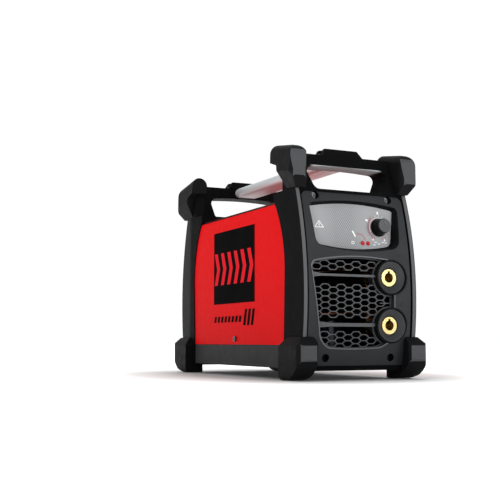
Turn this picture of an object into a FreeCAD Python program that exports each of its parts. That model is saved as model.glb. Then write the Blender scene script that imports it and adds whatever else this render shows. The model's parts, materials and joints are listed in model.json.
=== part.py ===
"""Portable stick welder: an inverter power source in a case between two moulded end frames.

Frame: +Z up, +X to the right of someone who faces the controls, +Y from the front to the rear.
The origin is on the ground, below the middle of the case. Lengths are millimetres.
"""

import FreeCAD, Part
import math
import os

import Sketcher
from FreeCAD import Placement, Rotation, Vector

DIMENSIONS = [
    ("case_half_width", 85.4, "end frames, middle to side"),
    ("front_reach", 207.0, "middle of the case to the furthest point of an end face"),
    ("face_radius", 427.0, "radius of the bowed end faces"),
    ("face_centre_height", 112.0, "height of the furthest point of an end face"),
    ("frame_bottom", 12.0, "underside of the end frames"),
    ("frame_top", 297.0, "top of the handle arches"),
    ("frame_side_wall", 6.1, "side rim of an end frame"),
    ("shelf_top", 247.5, "floor of the handle opening"),
    ("shelf_thickness", 3.8, "shelf between panel and handle opening"),
    ("rim_thickness", 6.0, "bottom rim of an end frame"),
    ("arch_back", 140.0, "middle of the case to the inner side of an arch"),
    ("arch_bevel", 12.0, "bevel at the outer inner corner of an arch post"),
    ("opening_top_half", 62.5, "half width of the handle opening, above"),
    ("opening_low_half", 56.5, "half width of the handle opening, below"),
    ("opening_top", 279.0, "height of the opening's top corners"),
    ("opening_corner", 9.0, "corner radius of the handle opening"),
    ("edge_low", 151.8, "middle to the cover's end edge, at the bottom"),
    ("edge_middle", 156.3, "middle to the cover's end edge, where it is longest"),
    ("edge_middle_height", 142.0, "height at which the cover is longest"),
    ("edge_radius", 160.0, "radius of the upper part of the cover's end edge"),
    ("cover_half_width", 83.9, "middle to the cover's side"),
    ("cover_top", 236.6, "top of the cover"),
    ("cover_bottom", 44.8, "lower edge of the cover"),
    ("sheet", 1.5, "sheet metal thickness"),
    ("tray_half_width", 83.0, "middle to the side of the base tray"),
    ("tray_bottom", 14.6, "underside of the base tray"),
    ("panel_inset", 1.0, "panel face behind the frame face"),
    ("panel_wall", 3.0, "wall thickness of the end panels"),
    ("panel_gap", 2.2, "groove between the panel's sides and the frame"),
    ("pad_height", 200.5, "height of the middle of the tilted control area"),
    ("pad_reach", 184.6, "middle of the case to the floor of the control area"),
    ("pad_tilt", 5.3, "tilt of the control area, degrees"),
    ("overlay_wide", 64.0, "half width of the control overlay, above"),
    ("overlay_narrow", 58.5, "half width of the control overlay, below"),
    ("overlay_rise", 24.5, "overlay corners above its middle"),
    ("overlay_drop", 26.0, "overlay lower corners below its middle"),
    ("overlay_thickness", 0.8, "control overlay thickness"),
    ("knob_across", 41.0, "middle to the knob's axis"),
    ("knob_radius", 12.2, "knob at its foot"),
    ("knob_height", 14.0, "knob without its cap"),
    ("shaft_radius", 3.0, "potentiometer shaft"),
    ("socket_across", 48.0, "middle to the socket axes"),
    ("socket_high", 133.0, "height of the negative socket"),
    ("socket_low", 70.0, "height of the positive socket"),
    ("socket_mouth", 198.5, "middle of the case to the mouth of the brass contacts"),
    ("socket_bore", 6.6, "bore for the 13 mm plug pin"),
    ("contact_radius", 11.3, "brass socket contact"),
    ("socket_depth", 36.0, "depth of the socket bore"),
    ("collar_radius", 23.3, "raised collar round each socket"),
    ("socket_seat", 195.0, "middle to the seat of the socket flanges"),
    ("boss_back", 191.0, "middle to the back of the socket bosses"),
    ("flange_radius", 21.3, "socket insulator flange"),
    ("barrel_radius", 14.0, "socket insulator barrel"),
    ("cell_pitch", 11.85, "air grille, cell to cell across"),
    ("cell_rise", 7.75, "air grille, cell to cell upwards"),
    ("cell_wall", 1.15, "air grille, wall between cells"),
    ("grille_inset", 8.0, "grille behind the frame face"),
    ("grille_wall", 2.6, "air grille thickness"),
    ("grille_half", 68.0, "middle to the side of the air grille"),
    ("tube_half_width", 20.0, "half width of the flat oval handle tube"),
    ("tube_half_depth", 7.6, "half height of the handle tube"),
    ("tube_height", 290.3, "height of the handle tube's axis"),
    ("tube_reach", 158.0, "middle to the end of the handle tube"),
    ("tube_wall", 2.0, "wall of the handle tube"),
    ("clamp_top", 307.5, "top of the handle clamps"),
    ("clamp_half", 31.0, "half width of a handle clamp"),
    ("bumper_inner", 71.5, "middle to the inner side of a bumper"),
    ("bumper_outer", 98.0, "middle to the outer side of a bumper"),
    ("bumper_top", 310.0, "top of the upper bumpers"),
    ("bumper_reach", 198.0, "middle to the end face of a front bumper"),
    ("bumper_reach_rear", 203.0, "middle to the end face of a rear bumper"),
    ("foot_inner", 68.0, "middle to the inner side of a foot"),
    ("foot_outer", 97.5, "middle to the outer side of a foot"),
    ("foot_reach", 215.0, "middle to the end face of a foot"),
    ("screw_radius", 2.0, "shank of the case screws"),
    ("screw_head", 4.0, "head radius of the case screws"),
    ("screw_sink", 7.5, "depth of the recesses of the panel screws"),
    ("clamp_screw_across", 25.8, "middle to the handle clamp screws"),
    ("clamp_screw_along", 149.0, "middle of the case to the clamp screws"),
    ("fan_half", 59.5, "half width of the fan frame"),
    ("fan_near", 160.0, "middle to the inner side of the fan"),
    ("fan_depth", 25.0, "depth of the fan"),
    ("fan_height", 104.0, "height of the fan's axis"),
    ("fan_bore", 57.0, "bore of the fan frame"),
    ("fan_sweep", 55.0, "radius swept by the fan blades"),
    ("fan_hub", 20.0, "fan hub radius"),
    ("board_height", 30.0, "underside of the main board"),
    ("board_thickness", 1.6, "circuit board thickness"),
    ("board_half_width", 72.0, "half width of the main board"),
    ("sink_top", 122.0, "top of the heatsinks"),
    ("sink_base", 6.0, "heatsink base thickness"),
    ("fin_length", 44.0, "heatsink fin length"),
    ("fin_thickness", 2.0, "heatsink fin thickness"),
    ("fin_pitch", 8.0, "heatsink fin spacing"),
    ("switch_across", 40.0, "middle to the mains switch and to the cable gland"),
    ("switch_half_width", 11.0, "half width of the mains switch opening"),
    ("switch_half_rise", 14.0, "half height of the mains switch opening"),
    ("rocker_angle", 10.0, "lean of the switch rocker, degrees"),
    ("cable_bore", 5.6, "bore of the cable gland"),
    ("decal_front", 64.0, "middle to the front edge of the side label"),
    ("decal_rear", 78.0, "middle to the rear edge of the side label"),
    ("decal_low", 104.5, "lower edge of the side label"),
    ("decal_top", 213.0, "upper edge of the side label"),
    ("decal_film", 0.25, "thickness of the side label"),
]


class Size:
    """A length together with the spreadsheet expression that gives it."""

    def __init__(self, value, text):
        self.value = value
        self.text = text

    def __add__(self, other):
        other = as_size(other)
        return Size(self.value + other.value, f"({self.text} + {other.text})")

    def __radd__(self, other):
        return as_size(other) + self

    def __sub__(self, other):
        other = as_size(other)
        return Size(self.value - other.value, f"({self.text} - {other.text})")

    def __rsub__(self, other):
        return as_size(other) - self

    def __mul__(self, factor):
        return Size(self.value * factor, f"({self.text} * {factor:.6g})")

    __rmul__ = __mul__

    def __neg__(self):
        return self * -1


def as_size(number):
    """A plain number becomes a Size whose expression is the number."""
    if isinstance(number, Size):
        return number
    return Size(float(number), f"({float(number):.6g})")


class Dimensions:
    """The driving dimensions, one attribute for each row of the sheet."""


doc = FreeCAD.newDocument("stick_welder")
sheet = doc.addObject("Spreadsheet::Sheet", "Sizes")
dim = Dimensions()
for row, (alias, value, meaning) in enumerate(DIMENSIONS, start=1):
    sheet.set(f"A{row}", meaning)
    sheet.set(f"B{row}", str(value))
    sheet.setAlias(f"B{row}", alias)
    setattr(dim, alias, Size(value, f"Sizes.{alias}"))
doc.recompute()

nodes = []
solid_counts = {}

FRONT, REAR = -1, 1
ALONG_X = Rotation(Vector(0, 1, 0), 90)
ALONG_Y = Rotation(Vector(1, 0, 0), -90)
ALONG_Z = Rotation()


# ---- helpers: primitives, booleans and sketched solids, all driven by the sheet ----


def drive(thing, prop, size):
    """Ties one property to the sheet."""
    thing.setExpression(prop, as_size(size).text)


def place(thing, spot, rotation=ALONG_Z):
    """Puts an object at a spot whose three coordinates come from the sheet."""
    spot = [as_size(number) for number in spot]
    thing.Placement = Placement(Vector(*[size.value for size in spot]), rotation)
    for axis, size in zip("xyz", spot):
        drive(thing, f"Placement.Base.{axis}", size)


def box(name, across, along, upward):
    """A box given by its low and high value on each axis."""
    solid = doc.addObject("Part::Box", name)
    for prop, (low, high) in zip(("Length", "Width", "Height"), (across, along, upward)):
        drive(solid, prop, as_size(high) - low)
    place(solid, (across[0], along[0], upward[0]))
    return solid


def cylinder(name, radius, height, spot, rotation=ALONG_Z):
    """A cylinder that starts at the spot and runs along its turned Z axis."""
    solid = doc.addObject("Part::Cylinder", name)
    drive(solid, "Radius", radius)
    drive(solid, "Height", height)
    place(solid, spot, rotation)
    return solid


def cone(name, low_radius, high_radius, height, spot, rotation=ALONG_Z):
    """A frustum that starts at the spot and runs along its turned Z axis."""
    solid = doc.addObject("Part::Cone", name)
    drive(solid, "Radius1", low_radius)
    drive(solid, "Radius2", high_radius)
    drive(solid, "Height", height)
    place(solid, spot, rotation)
    return solid


def torus(name, ring_radius, section_radius, spot, rotation=ALONG_Z):
    """A ring with a round section."""
    solid = doc.addObject("Part::Torus", name)
    drive(solid, "Radius1", ring_radius)
    drive(solid, "Radius2", section_radius)
    place(solid, spot, rotation)
    return solid


def fuse(name, solids):
    """Joins the solids into one object."""
    joined = doc.addObject("Part::MultiFuse", name)
    joined.Shapes = solids
    joined.Refine = True
    return joined


def common(name, first, second):
    """Keeps what two solids share."""
    shared = doc.addObject("Part::MultiCommon", name)
    shared.Shapes = [first, second]
    return shared


def cut(name, base, tools):
    """Takes the tools away from the base."""
    if len(tools) > 1:
        tool = doc.addObject("Part::MultiFuse", name + "_tools")
        tool.Shapes = tools
    else:
        tool = tools[0]
    left = doc.addObject("Part::Cut", name)
    left.Base = base
    left.Tool = tool
    return left


def group(name, solids):
    """Keeps several like solids together as one object."""
    set_of_solids = doc.addObject("Part::Compound", name)
    set_of_solids.Links = solids
    return set_of_solids


def mirrored(name, source, normal):
    """A mirror image of a solid about a plane through the origin."""
    image = doc.addObject("Part::Mirroring", name)
    image.Source = source
    image.Base = Vector()
    image.Normal = normal
    return image


def rounded(name, solid, radius, wanted):
    """Rounds the edges for which wanted(edge) holds."""
    doc.recompute()
    result = doc.addObject("Part::Fillet", name)
    result.Base = solid
    edges = enumerate(solid.Shape.Edges, start=1)
    result.Edges = [(number, radius, radius) for number, edge in edges if wanted(edge)]
    return result


def straight_along(axis):
    """A test for straight edges that run along a row axis."""

    def test(edge):
        if edge.Curve.TypeId != "Part::GeomLine":
            return False
        return abs(edge.Curve.Direction.dot(axis)) > 0.999

    return test


def arc_centre(start, end, radius, side):
    """The centre of an arc from start to end; side +1 lies left of the way from start to end."""
    half = (end - start) * 0.5
    rise = math.sqrt(max(radius ** 2 - half.Length ** 2, 0.0))
    left = Vector(-half.y, half.x, 0).normalize()
    return start + half + left * (rise * side)


def sketch_outline(body, name, plane, path, shift=0):
    """A closed sketch. Each point is (a, b), or (a, b, radius, side) where an arc starts there."""
    sketch = body.newObject("Sketcher::SketchObject", name)
    origin_plane = [item for item in body.Origin.OriginFeatures if item.Role == plane][0]
    sketch.AttachmentSupport = [(origin_plane, "")]
    sketch.MapMode = "FlatFace"
    drive(sketch, "AttachmentOffset.Base.z", shift)
    points = [[as_size(number) for number in point[:2]] for point in path]
    spots = [Vector(a.value, b.value, 0) for a, b in points]
    ends = []
    for index, point in enumerate(path):
        start = spots[index]
        end = spots[(index + 1) % len(path)]
        if len(point) == 2:
            edge = sketch.addGeometry(Part.LineSegment(start, end), False)
            ends.append((edge, 1, 2))
            continue
        radius = as_size(point[2])
        side = point[3]
        centre = arc_centre(start, end, radius.value, side)
        circle = Part.Circle(centre, Vector(0, 0, 1), radius.value)
        first, last = (start, end) if side > 0 else (end, start)
        angles = [math.atan2(spot.y - centre.y, spot.x - centre.x) for spot in (first, last)]
        edge = sketch.addGeometry(Part.ArcOfCircle(circle, angles[0], angles[1]), False)
        ends.append((edge, 1, 2) if side > 0 else (edge, 2, 1))
        number = sketch.addConstraint(Sketcher.Constraint("Radius", edge, radius.value))
        sketch.renameConstraint(number, f"radius{index}")
        drive(sketch, f"Constraints.radius{index}", radius)
    for index, (edge, start_point, end_point) in enumerate(ends):
        after = ends[(index + 1) % len(ends)]
        sketch.addConstraint(Sketcher.Constraint("Coincident", edge, end_point, after[0], after[1]))
        for kind, axis, size in (("DistanceX", "a", points[index][0]), ("DistanceY", "b", points[index][1])):
            if abs(size.value) < 1e-9:
                line = -2 if kind == "DistanceX" else -1
                sketch.addConstraint(Sketcher.Constraint("PointOnObject", edge, start_point, line))
                continue
            rule = Sketcher.Constraint(kind, -1, 1, edge, start_point, size.value)
            number = sketch.addConstraint(rule)
            sketch.renameConstraint(number, f"{axis}{index}")
            drive(sketch, f"Constraints.{axis}{index}", size)
    return sketch


def extruded(name, plane, path, low, high):
    """A body whose outline on an origin plane runs from low to high along the plane's normal."""
    body = doc.addObject("PartDesign::Body", name)
    sketch = sketch_outline(body, name + "_outline", plane, path, low)
    pad = body.newObject("PartDesign::Pad", name + "_pad")
    pad.Profile = sketch
    drive(pad, "Length", as_size(high) - low)
    body.Tip = pad
    return body


def stadium(half_width, half_depth, height):
    """A flat oval outline: two straight sides joined by quarter arcs."""
    straight = half_width - half_depth
    low = as_size(height) - half_depth
    high = as_size(height) + half_depth
    return [
        (-straight, low),
        (straight, low, half_depth, 1),
        (half_width, height, half_depth, 1),
        (straight, high),
        (-straight, high, half_depth, 1),
        (-half_width, height, half_depth, 1),
    ]


def keep(thing, label, solids=1):
    """Registers a finished sub-part; its label names its file."""
    thing.Label = label
    nodes.append(thing)
    solid_counts[label] = solids
    return thing


def face_reach(height, inset=0.0):
    """How far an end face stands from the middle at a height, less an inset."""
    radius = dim.face_radius.value - inset
    rise = height - dim.face_centre_height.value
    return dim.front_reach.value - dim.face_radius.value + math.sqrt(radius ** 2 - rise ** 2)


def face_cylinder(name, inset):
    """The big cylinder whose surface is the front face, moved inwards by an inset."""
    half = dim.bumper_outer + 5
    centre = dim.face_radius - dim.front_reach
    spot = (-half, centre, dim.face_centre_height)
    return cylinder(name, dim.face_radius - inset, half * 2, spot, ALONG_X)


def pad_placement(end):
    """The tilted control area: its X goes right, its Y up and its Z out, seen from outside."""
    tilt = Rotation(Vector(1, 0, 0), 90 - dim.pad_tilt.value)
    turn = Rotation(Vector(0, 0, 1), 0 if end == FRONT else 180)
    spot = Vector(0, end * dim.pad_reach.value, dim.pad_height.value)
    return Placement(spot, turn.multiply(tilt))


# ---- end frames, end panels and their air grilles ----


def cover_edge(end, low, high, high_point):
    """Part of a side outline: the curved end edge that cover and frame share, upwards."""
    return [
        (end * dim.edge_low, low),
        (end * dim.edge_middle, dim.edge_middle_height, dim.edge_radius, end),
        (end * high_point, high),
    ]


def edge_reach(height):
    """How far the cover's curved end edge stands from the middle at a height above its arc's start."""
    rise = height - dim.edge_middle_height.value
    drop = dim.edge_radius.value - math.sqrt(dim.edge_radius.value ** 2 - rise ** 2)
    return dim.edge_middle - round(drop, 3)


def handle_opening():
    """Outline of the hand opening in an arch, with a slightly crowned top."""
    low = dim.shelf_top
    high = dim.opening_top
    wide = dim.opening_top_half
    narrow = dim.opening_low_half
    radius = dim.opening_corner
    return [
        (-narrow + 7.5, low),
        (narrow - 7.5, low, radius, 1),
        (narrow, low + 5.5),
        (wide, high - 9.5, radius, 1),
        (wide - 7, high, 700, 1),
        (-wide + 7, high, radius, 1),
        (-wide, high - 9.5),
        (-narrow, low + 5.5, radius, 1),
    ]


def frame_envelope(name):
    """The front frame's outer form without its openings."""
    beyond = -(dim.front_reach + 6)
    back = cover_edge(FRONT, dim.frame_bottom, dim.cover_top, edge_reach(dim.cover_top.value))
    outline = [(beyond, dim.frame_bottom)] + back + [
        (-edge_reach(dim.cover_top.value), dim.shelf_top),
        (-dim.arch_back, dim.shelf_top),
        (-dim.arch_back, dim.frame_top),
        (beyond, dim.frame_top),
    ]
    blank = extruded(name + "_side", "YZ_Plane", outline, -dim.case_half_width, dim.case_half_width)
    return common(name, blank, face_cylinder(name + "_face", 0))


SCREW_SPOTS = [(56.0, 238.6, "upper"), (49.2, 28.3, "lower")]


def screw_spots():
    """The four end-panel screws: across, height."""
    for across, height, _ in SCREW_SPOTS:
        for side in (-1, 1):
            yield side * across, height


def screw_lugs():
    """Blocks on the frame that the panel screws bite into, just behind the panel's flat bosses."""
    lugs = []
    for across, height, word in SCREW_SPOTS:
        face = face_reach(height, dim.panel_inset.value) - dim.screw_sink.value - 2.8
        depth = (-face, -165) if word == "upper" else (-face, -180)
        low = height - 6 if word == "upper" else dim.frame_bottom + dim.rim_thickness
        high = dim.shelf_top - dim.shelf_thickness if word == "upper" else height + 6
        for side in (-1, 1):
            spans = (side * across - 6, side * across + 6)
            lugs.append(box(f"lug_{word}_{side + 1}", spans, depth, (low, high)))
    return fuse("lugs", lugs)


def tube_socket(name, far):
    """The flat oval hole that takes an end of the handle tube."""
    outline = stadium(dim.tube_half_width, dim.tube_half_depth, dim.tube_height)
    return extruded(name, "XZ_Plane", outline, dim.arch_back - 10, far)


def front_frame_shape():
    """The front frame: rim, shelf and handle arch in one moulding."""
    inner = dim.case_half_width - dim.frame_side_wall
    low = dim.frame_bottom + dim.rim_thickness
    high = dim.shelf_top - dim.shelf_thickness
    window = box("frame_window", (-inner, inner), (-220, -166), (low, high))
    window = rounded("frame_window_round", window, 9.0, straight_along(Vector(0, 1, 0)))
    passage = box("frame_passage", (-inner, inner), (-167, -120), (low, dim.cover_top - 2.5))
    passage = rounded("frame_passage_round", passage, 9.0, straight_along(Vector(0, 1, 0)))
    opening = extruded("arch_opening", "XZ_Plane", handle_opening(), 120, 220)
    bevels = []
    for side in (-1, 1):
        outside = side * (dim.case_half_width + 1)
        inside = side * (dim.case_half_width - dim.arch_bevel)
        corner = [
            (outside, -(dim.arch_back + dim.arch_bevel)),
            (outside, -(dim.arch_back - 2)),
            (inside, -(dim.arch_back - 2)),
        ]
        bevels.append(extruded(f"arch_bevel_{side + 1}", "XY_Plane", corner, dim.shelf_top, dim.frame_top + 1))
    tools = [window, passage, opening, tube_socket("tube_socket", dim.tube_reach)] + bevels
    ring = cut("frame_ring", frame_envelope("frame_blank"), tools)
    body = fuse("frame_with_lugs", [ring, screw_lugs()])
    holes = []
    for number, (across, height) in enumerate(screw_spots()):
        holes.append(cylinder(f"lug_hole_{number}", dim.screw_radius, 60, (across, -215, height), ALONG_Y))
    for side in (-1, 1):
        spot = (dim.clamp_screw_across * side, -dim.clamp_screw_along, dim.opening_top + 3.5)
        holes.append(cylinder(f"clamp_hole_{side + 1}", dim.screw_radius, 40, spot))
    ribs = []
    for across in (-58, -44, 44, 58):
        depth = (-dim.arch_back, -dim.arch_back + 1.5)
        rise = (dim.opening_top + 4, dim.frame_top - 1)
        ribs.append(box(f"arch_rib_{across + 58}", (across - 1, across + 1), depth, rise))
    drilled = cut("frame_drilled", body, holes)
    return fuse("front_frame", [drilled] + ribs)


def overlay_outline(grow):
    """Shield outline of the control overlay in the tilted area, grown on every side."""
    wide = dim.overlay_wide + grow
    narrow = dim.overlay_narrow + grow
    high = dim.overlay_rise + grow
    low = -(dim.overlay_drop + grow)
    return [
        (-narrow + 8, low, 280, 1),
        (narrow - 8, low, 9, 1),
        (narrow, low + 7),
        (wide, high - 3, 4, 1),
        (wide - 4, high, 340, 1),
        (-wide + 4, high, 4, 1),
        (-wide, high - 3),
        (-narrow, low + 7, 9, 1),
    ]


def panel_outline(name, clearance):
    """A rounded block across the front frame's window, with a clearance at its sides."""
    half = dim.case_half_width - dim.frame_side_wall - clearance
    low = dim.frame_bottom + dim.rim_thickness + 0.3
    high = dim.shelf_top - dim.shelf_thickness - 0.3
    block = box(name, (-half, half), (-220, -150), (low, high))
    return rounded(name + "_round", block, 8.5, straight_along(Vector(0, 1, 0)))


def panel_blank(name, posts):
    """A bowed end panel with a flange behind its side grooves, screw bosses and a tub for the controls."""
    inset = dim.panel_inset
    skin_back = face_cylinder(name + "_skin_back", inset + dim.panel_wall)
    skin = cut(name + "_skin", panel_outline(name + "_plate", dim.panel_gap), [skin_back])
    flange_back = face_cylinder(name + "_flange_back", inset + dim.panel_wall + 3.5)
    inside = panel_outline(name + "_inside", dim.panel_gap + dim.panel_wall)
    edge = cut(name + "_edge", panel_outline(name + "_wall", dim.panel_gap), [inside, flange_back])
    flange = cut(name + "_flange", panel_outline(name + "_lip", 0.3), [inside, flange_back])
    flange_face = face_cylinder(name + "_flange_face", inset + dim.panel_wall + 1.5)
    flange = common(name + "_flange_trim", flange, flange_face)
    bosses = []
    for number, (across, height) in enumerate(screw_spots()):
        depth = face_reach(height, dim.panel_inset.value) - dim.screw_sink.value - 2.5
        bosses.append(cylinder(f"{name}_boss_{number}", 7.0, 40, (across, -depth - 40, height), ALONG_Y))
    boss_room = panel_outline(name + "_boss_room", 0.3)
    bosses = common(name + "_bosses", fuse(name + "_boss_set", bosses), boss_room)
    tub = extruded(name + "_tub", "XY_Plane", overlay_outline(5.5), -3, 25)
    tub.Placement = pad_placement(FRONT)
    rough = fuse(name + "_rough", [skin, edge, flange, bosses, tub] + posts)
    face = face_cylinder(name + "_face", inset)
    return common(name + "_blank", rough, face)


def tapered_recess(name):
    """The control area's recess: its walls open outwards."""
    body = doc.addObject("PartDesign::Body", name)
    floor = sketch_outline(body, name + "_floor", "XY_Plane", overlay_outline(0.4))
    pad = body.newObject("PartDesign::Pad", name + "_pad")
    pad.Profile = floor
    pad.Length = 25
    pad.TaperAngle = 20
    body.Tip = pad
    body.Placement = pad_placement(FRONT)
    return body


def grille_outline(grow):
    """Outline of the air grille's opening, leaning on its left, open to the sockets on its right."""
    left = -(dim.grille_half + grow)
    low = 41.5 - grow
    high = 156 + grow
    right = 50.9 + grow
    return [
        (left + 24, low, 500, 1),
        (24 + grow, low, 30, 1),
        (right, 60),
        (right, high - 12, 14, 1),
        (right - 14, high, 330, 1),
        (left + 4, high - 4, 9, 1),
        (left - 4, high - 13),
        (left + 8, low + 20, 24, 1),
    ]


def socket_circles(name, radius, near, far):
    """A pair of cylinders around the two socket axes, from far to near."""
    pair = []
    for height in (dim.socket_low, dim.socket_high):
        spot = (dim.socket_across, -far, height)
        pair.append(cylinder(name, radius, as_size(far) - near, spot, ALONG_Y))
    return pair


def hexagon(across, height, grow=0.0):
    """One flat-topped, stretched cell of the air grille, centred on a spot (across, height)."""
    half = dim.cell_pitch.value * 2 / 3 + (grow - dim.cell_wall.value / 2) * 1.24
    rise = dim.cell_rise.value / 2 + grow - dim.cell_wall.value / 2
    corners = []
    upper = [(half, 0), (half / 2, rise), (-half / 2, rise)]
    for a, b in upper + [(-a, -b) for a, b in upper]:
        corners.append(Vector(across + a, 0, height + b))
    return corners


def cell_centres(low, high, half, start):
    """Centres of the cells between two heights, in columns that are offset by half a cell."""
    columns = int(half / dim.cell_pitch.value)
    rows = int((high - low) / dim.cell_rise.value) + 3
    for column in range(-columns, columns + 1):
        lift = 0.5 * dim.cell_rise.value * (column % 2)
        for row in range(rows):
            height = start - lift + row * dim.cell_rise.value
            if low <= height <= high:
                yield column * dim.cell_pitch.value, height


def prism_list(centres, near, far, grow=0.0):
    """Prisms through the grille, one for each cell."""
    prisms = []
    for across, height in centres:
        corners = hexagon(across, height, grow)
        wire = Part.makePolygon(corners + corners[:1])
        prism = Part.Face(wire).extrude(Vector(0, far - near, 0))
        prism.translate(Vector(0, near, 0))
        prisms.append(prism)
    return prisms


def cell_prisms(name, centres, near, far):
    """The cells of a grille as one cutting tool."""
    cells = doc.addObject("Part::Feature", name)
    cells.Shape = Part.makeCompound(prism_list(centres, near, far))
    return cells


# Bands of the grille: lowest and highest cell centre, leftmost centre, height of one centre.
GRILLE_BANDS = [(46.0, 58.5, -62.0, 42.5), (83.0, 122.0, -72.0, 79.85), (144.5, 152.0, -74.0, 141.3)]


# The two bars: height, thickness, where the wedge starts and ends, half the wedge's spread.
GRILLE_BARS = [(134.2, 2.9, -55.5, -71.0, 3.4), (70.5, 4.5, -41.0, -63.0, 3.7)]


def front_cell_centres():
    """Cells in three bands, clear of the two bars and the sockets."""
    socket_clear = 29.0
    for low, high, furthest_left, start in GRILLE_BANDS:
        for across, height in cell_centres(low, high, 84, start):
            across = across - 1.65
            if across < furthest_left or across > 40:
                continue
            near_socket = False
            for socket_height in (dim.socket_low.value, dim.socket_high.value):
                gap = math.hypot(across - dim.socket_across.value, height - socket_height)
                near_socket = near_socket or gap < socket_clear
            if not near_socket:
                yield across, height


def grille_bars():
    """The two bars of the grille, each with a wedge at its left end."""
    bars = []
    for height, thickness, neck, left, spread in GRILLE_BARS:
        spans = (height - thickness / 2, height + thickness / 2)
        bars.append(box(f"grille_bar_{int(height)}", (neck - 1, 27), (-208, -185), spans))
        flare = [
            (neck, height - thickness / 2),
            (neck, height + thickness / 2),
            (left, height + spread + 0.6),
            (left, height - spread),
        ]
        bars.append(extruded(f"grille_flare_{int(height)}", "XZ_Plane", flare, 185, 208))
    return fuse("grille_bar_set", bars)


def front_grille_shape():
    """The air grille: a bowed rim with honeycomb bands, rings round the sockets and two bars."""
    inset = dim.grille_inset
    back = face_cylinder("grille_back", inset + dim.grille_wall)
    face = face_cylinder("grille_face", inset)
    rim = cut("grille_rim", extruded("grille_plate", "XZ_Plane", grille_outline(1.5), 150, 220),
              [extruded("grille_window", "XZ_Plane", grille_outline(-1.2), 140, 230)])
    centres = list(front_cell_centres())
    tiles = prism_list(centres, -216, -150, dim.cell_wall.value)
    tile_solid = doc.addObject("Part::Feature", "grille_tiles")
    tile_solid.Shape = tiles[0].multiFuse(tiles[1:])
    mesh = cut("grille_mesh", tile_solid, [cell_prisms("grille_cells", centres, -217, -149)])
    rings = fuse("grille_ring_set", socket_circles("grille_ring", dim.collar_radius + 1.8, 150, 216))
    tie = box("grille_tie", (34, 52), (-216, -150), (98.6, 99.9))
    inside = common("grille_inside", fuse("grille_parts", [mesh, rings, tie]),
                    extruded("grille_room", "XZ_Plane", grille_outline(0), 150, 220))
    flat = common("grille_flat", fuse("grille_web", [rim, inside]), face)
    bars = common("grille_bars_room", grille_bars(), face_cylinder("bar_face", inset - 3.5))
    bars = common("grille_bars", bars, extruded("bar_room", "XZ_Plane", grille_outline(-0.4), 150, 220))
    clearance = socket_circles("grille_socket_clear", dim.collar_radius + 0.3, 150, 216)
    return cut("front_grille", fuse("grille_solid", [flat, bars]), [back] + clearance)


def board_posts():
    """Posts behind the control area that carry the control board."""
    posts = []
    for across in (-46, 46):
        for rise in (-16, 16):
            posts.append(cylinder(f"board_post_{across + 46}_{rise + 16}", 3, 9.6, (across, rise, -12.6)))
    joined = fuse("board_posts", posts)
    joined.Placement = pad_placement(FRONT)
    return joined


def screw_recesses(name):
    """Round recesses and holes for the four panel screws."""
    tools = []
    for number, (across, height) in enumerate(screw_spots()):
        face = face_reach(height, dim.panel_inset.value)
        spot = (across, dim.screw_sink - face - 14, height)
        tools.append(cylinder(f"{name}_sink_{number}", 5.2, 14, spot, ALONG_Y))
        tools.append(cylinder(f"{name}_hole_{number}", dim.screw_radius, 60, (across, -215, height), ALONG_Y))
    return tools


def polarity_marks():
    """A raised minus above the upper socket and a raised plus between the sockets."""
    across = 64
    strokes = [
        box("minus_stroke", (across - 3, across + 3), (-212, -200), (161.0, 162.6)),
        box("plus_flat", (across - 3, across + 3), (-212, -200), (96.2, 97.8)),
        box("plus_upright", (across - 0.8, across + 0.8), (-212, -200), (94.0, 100.0)),
    ]
    return common("marks", fuse("mark_strokes", strokes), face_cylinder("mark_face", dim.panel_inset - 0.35))


def front_panel_shape():
    """The front panel: control recess, grille opening with its raised lip, socket seats and screw recesses."""
    blank = panel_blank("front_panel", [])
    collars = fuse("collar_pair", socket_circles("socket_collar", dim.collar_radius, dim.boss_back, 216))
    collars = common("collars", collars, face_cylinder("collar_face", dim.panel_inset - 1.2))
    opening = extruded("grille_opening", "XZ_Plane", grille_outline(0), 150, 220)
    surround = extruded("surround_block", "XZ_Plane", grille_outline(1.5), 150, 220)
    surround = common("surround_front", surround, face_cylinder("surround_face", dim.panel_inset - 0.6))
    surround = cut("surround", surround, [face_cylinder("surround_back", dim.grille_inset - 0.3)])
    walls = cut("panel_opened", fuse("panel_walls", [blank, surround]), [opening])
    seated = fuse("panel_seated", [walls, collars, board_posts(), polarity_marks()])
    seats = socket_circles("socket_seat", dim.flange_radius + 0.4, dim.socket_seat, 216)
    barrels = socket_circles("socket_hole", dim.barrel_radius, 150, 216)
    fittings = [cylinder("shaft_hole", 5.0, 30, (dim.knob_across, 0, -10))] + lens_barrels("lens_hole", 6)
    fittings = group("control_holes", fittings)
    fittings.Placement = pad_placement(FRONT)
    tools = [tapered_recess("control_recess"), fittings]
    return cut("front_panel", seated, tools + seats + barrels + screw_recesses("front"))


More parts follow.
